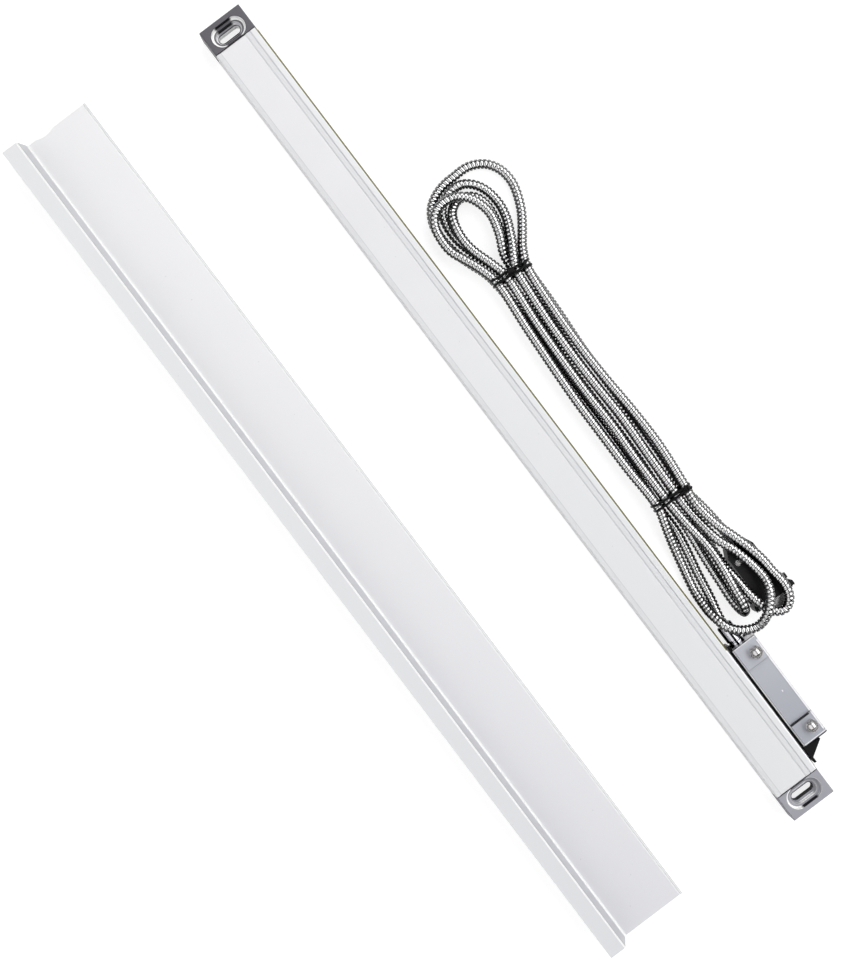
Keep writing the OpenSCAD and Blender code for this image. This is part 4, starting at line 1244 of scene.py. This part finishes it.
@dataclass
class Studio:
    """Floor, lamps, world and camera.

    Angles are in degrees. A lamp's row says how far it leans from overhead towards +Y, how
    wide it is across the object, and how bright its face is, where 1 is white.
    """

    eye: Point = (-0.0018, -0.0769, 1.05)
    turn: float = 52.89
    lens: float = 59.2
    sensor: float = 36.0
    clip_end: float = 50.0
    floor_size: float = 12.0
    floor_cuts: int = 4
    floor_tone: float = 0.32
    floor_roughness: float = 0.9
    floor_specular: float = 0.1
    floor_glow: float = 0.82
    lamps: tuple[tuple[str, float, float, float], ...] = (
        ("key_lamp", 38.0, 1.8, 2.45), ("fill_lamp", -41.0, 2.2, 1.2),
    )
    lamp_distance: float = 1.9
    lamp_length: float = 4.4
    zenith: float = 0.008
    horizon: float = 0.003

    def build(self) -> None:
        """Builds the whole surroundings."""
        self.build_floor()
        self.build_world()
        for lamp in self.lamps:
            self.add_lamp(*lamp)
        self.build_camera()

    def build_floor(self) -> None:
        """A wide pale sheet under the object, which shows white and keeps the shadows."""
        clear_selection()
        bpy.ops.mesh.primitive_plane_add(size=self.floor_size)
        sheet = bpy.context.object
        sheet.name = "floor_sheet"
        bpy.ops.object.mode_set(mode="EDIT")
        bpy.ops.mesh.select_all(action="SELECT")
        bpy.ops.mesh.subdivide(number_cuts=self.floor_cuts)
        bpy.ops.object.mode_set(mode="OBJECT")
        bpy.ops.object.transform_apply(location=True, rotation=True, scale=True)
        made = bpy.data.materials.new("floor_paper")
        made.use_nodes = True
        tree = made.node_tree
        paper = tree.nodes["Principled BSDF"]
        feed(tree, (self.floor_tone,) * 3 + (1.0,), paper.inputs["Base Color"])
        feed(tree, self.floor_roughness, paper.inputs["Roughness"])
        feed(tree, self.floor_specular, paper.inputs["Specular IOR Level"])
        glow = add_node(tree, "Emission", {"Strength": self.floor_glow})
        both = add_node(tree, "AddShader", {0: paper.outputs[0], 1: glow.outputs[0]})
        seen = self.rays(tree, "Is Camera Ray", "Is Transmission Ray", "Is Glossy Ray")
        pick = add_node(tree, "MixShader", {0: seen, 1: paper.outputs[0], 2: both.outputs[0]})
        tree.links.new(pick.outputs[0], tree.nodes["Material Output"].inputs["Surface"])
        sheet.data.materials.append(made)

    def rays(self, tree: Tree, *kinds: str) -> Socket:
        """A mask of some kinds of rays.

        Args:
            tree: the node tree it is placed in.
            *kinds: names of the kinds.

        Returns:
            The socket with the mask.
        """
        given = add_node(tree, "LightPath", {}).outputs
        mask = given[kinds[0]]
        for kind in kinds[1:]:
            mask = math_node(tree, "MAXIMUM", mask, given[kind])
        return mask

    def build_world(self) -> None:
        """A soft sky that is white where it is seen, and darker towards the horizon."""
        world = bpy.data.worlds.new("studio")
        bpy.context.scene.world = world
        world.use_nodes = True
        tree = world.node_tree
        ahead = add_node(tree, "TexCoord", {}).outputs["Generated"]
        split = add_node(tree, "SeparateXYZ", {"Vector": ahead})
        height = add_node(tree, "MapRange", {
            "Value": split.outputs["Z"], "To Min": self.horizon, "To Max": self.zenith,
        })
        white = self.rays(tree, "Is Camera Ray", "Is Transmission Ray")
        level = math_node(tree, "MAXIMUM", height.outputs["Result"], white)
        back = tree.nodes["Background"]
        feed(tree, (1.0, 1.0, 1.0, 1.0), back.inputs["Color"])
        feed(tree, level, back.inputs["Strength"])

    def add_lamp(self, name: str, lean: float, width: float, level: float) -> None:
        """Hangs one soft lamp along the object, turned to face it.

        Args:
            name: its name.
            lean: how far it leans from overhead towards +Y, in degrees.
            width: its width across the object in metres.
            level: how bright its face is, where 1 is white.
        """
        clear_selection()
        turn = math.radians(lean)
        spot = (0.0, self.lamp_distance * math.sin(turn), self.lamp_distance * math.cos(turn))
        bpy.ops.object.light_add(type="AREA", location=spot, rotation=(-turn, 0, 0))
        lamp = bpy.context.object
        lamp.name = name
        lamp.data.shape = "RECTANGLE"
        lamp.data.size = self.lamp_length
        lamp.data.size_y = width
        lamp.data.energy = level * math.pi * self.lamp_length * width

    def build_camera(self) -> None:
        """Looks straight down, turned so that the housing runs from corner to corner."""
        clear_selection()
        bpy.ops.object.camera_add(location=self.eye, rotation=(0, 0, math.radians(self.turn)))
        camera = bpy.context.object
        camera.data.lens = self.lens
        camera.data.sensor_width = self.sensor
        camera.data.clip_end = self.clip_end
        bpy.context.scene.camera = camera


def main() -> None:
    """Builds the surroundings, the finishes and every piece, in order."""
    logging.basicConfig(level=logging.INFO, format="%(message)s")
    bpy.context.scene.view_settings.view_transform = "Standard"
    Studio().build()
    SHOP.build()
    SHOP.dress_nodes()
    cable = ArmouredCable()
    tube = cable.build()
    upper = WireTie(
        "wire_tie_upper", "cable_tie_upper", x=-75.0, y=53.0, skew=0.1,
        knot=(-76.0, 53.0, 17.6), knot_turns=3.5,
    ).build()
    lower = WireTie(
        "wire_tie_lower", "cable_tie_lower", x=106.0, y=48.5, skew=0.06,
        knot=(106.5, 59.6, 16.4), knot_turns=2.0,
    ).build()


if __name__ == "__main__":
    main()
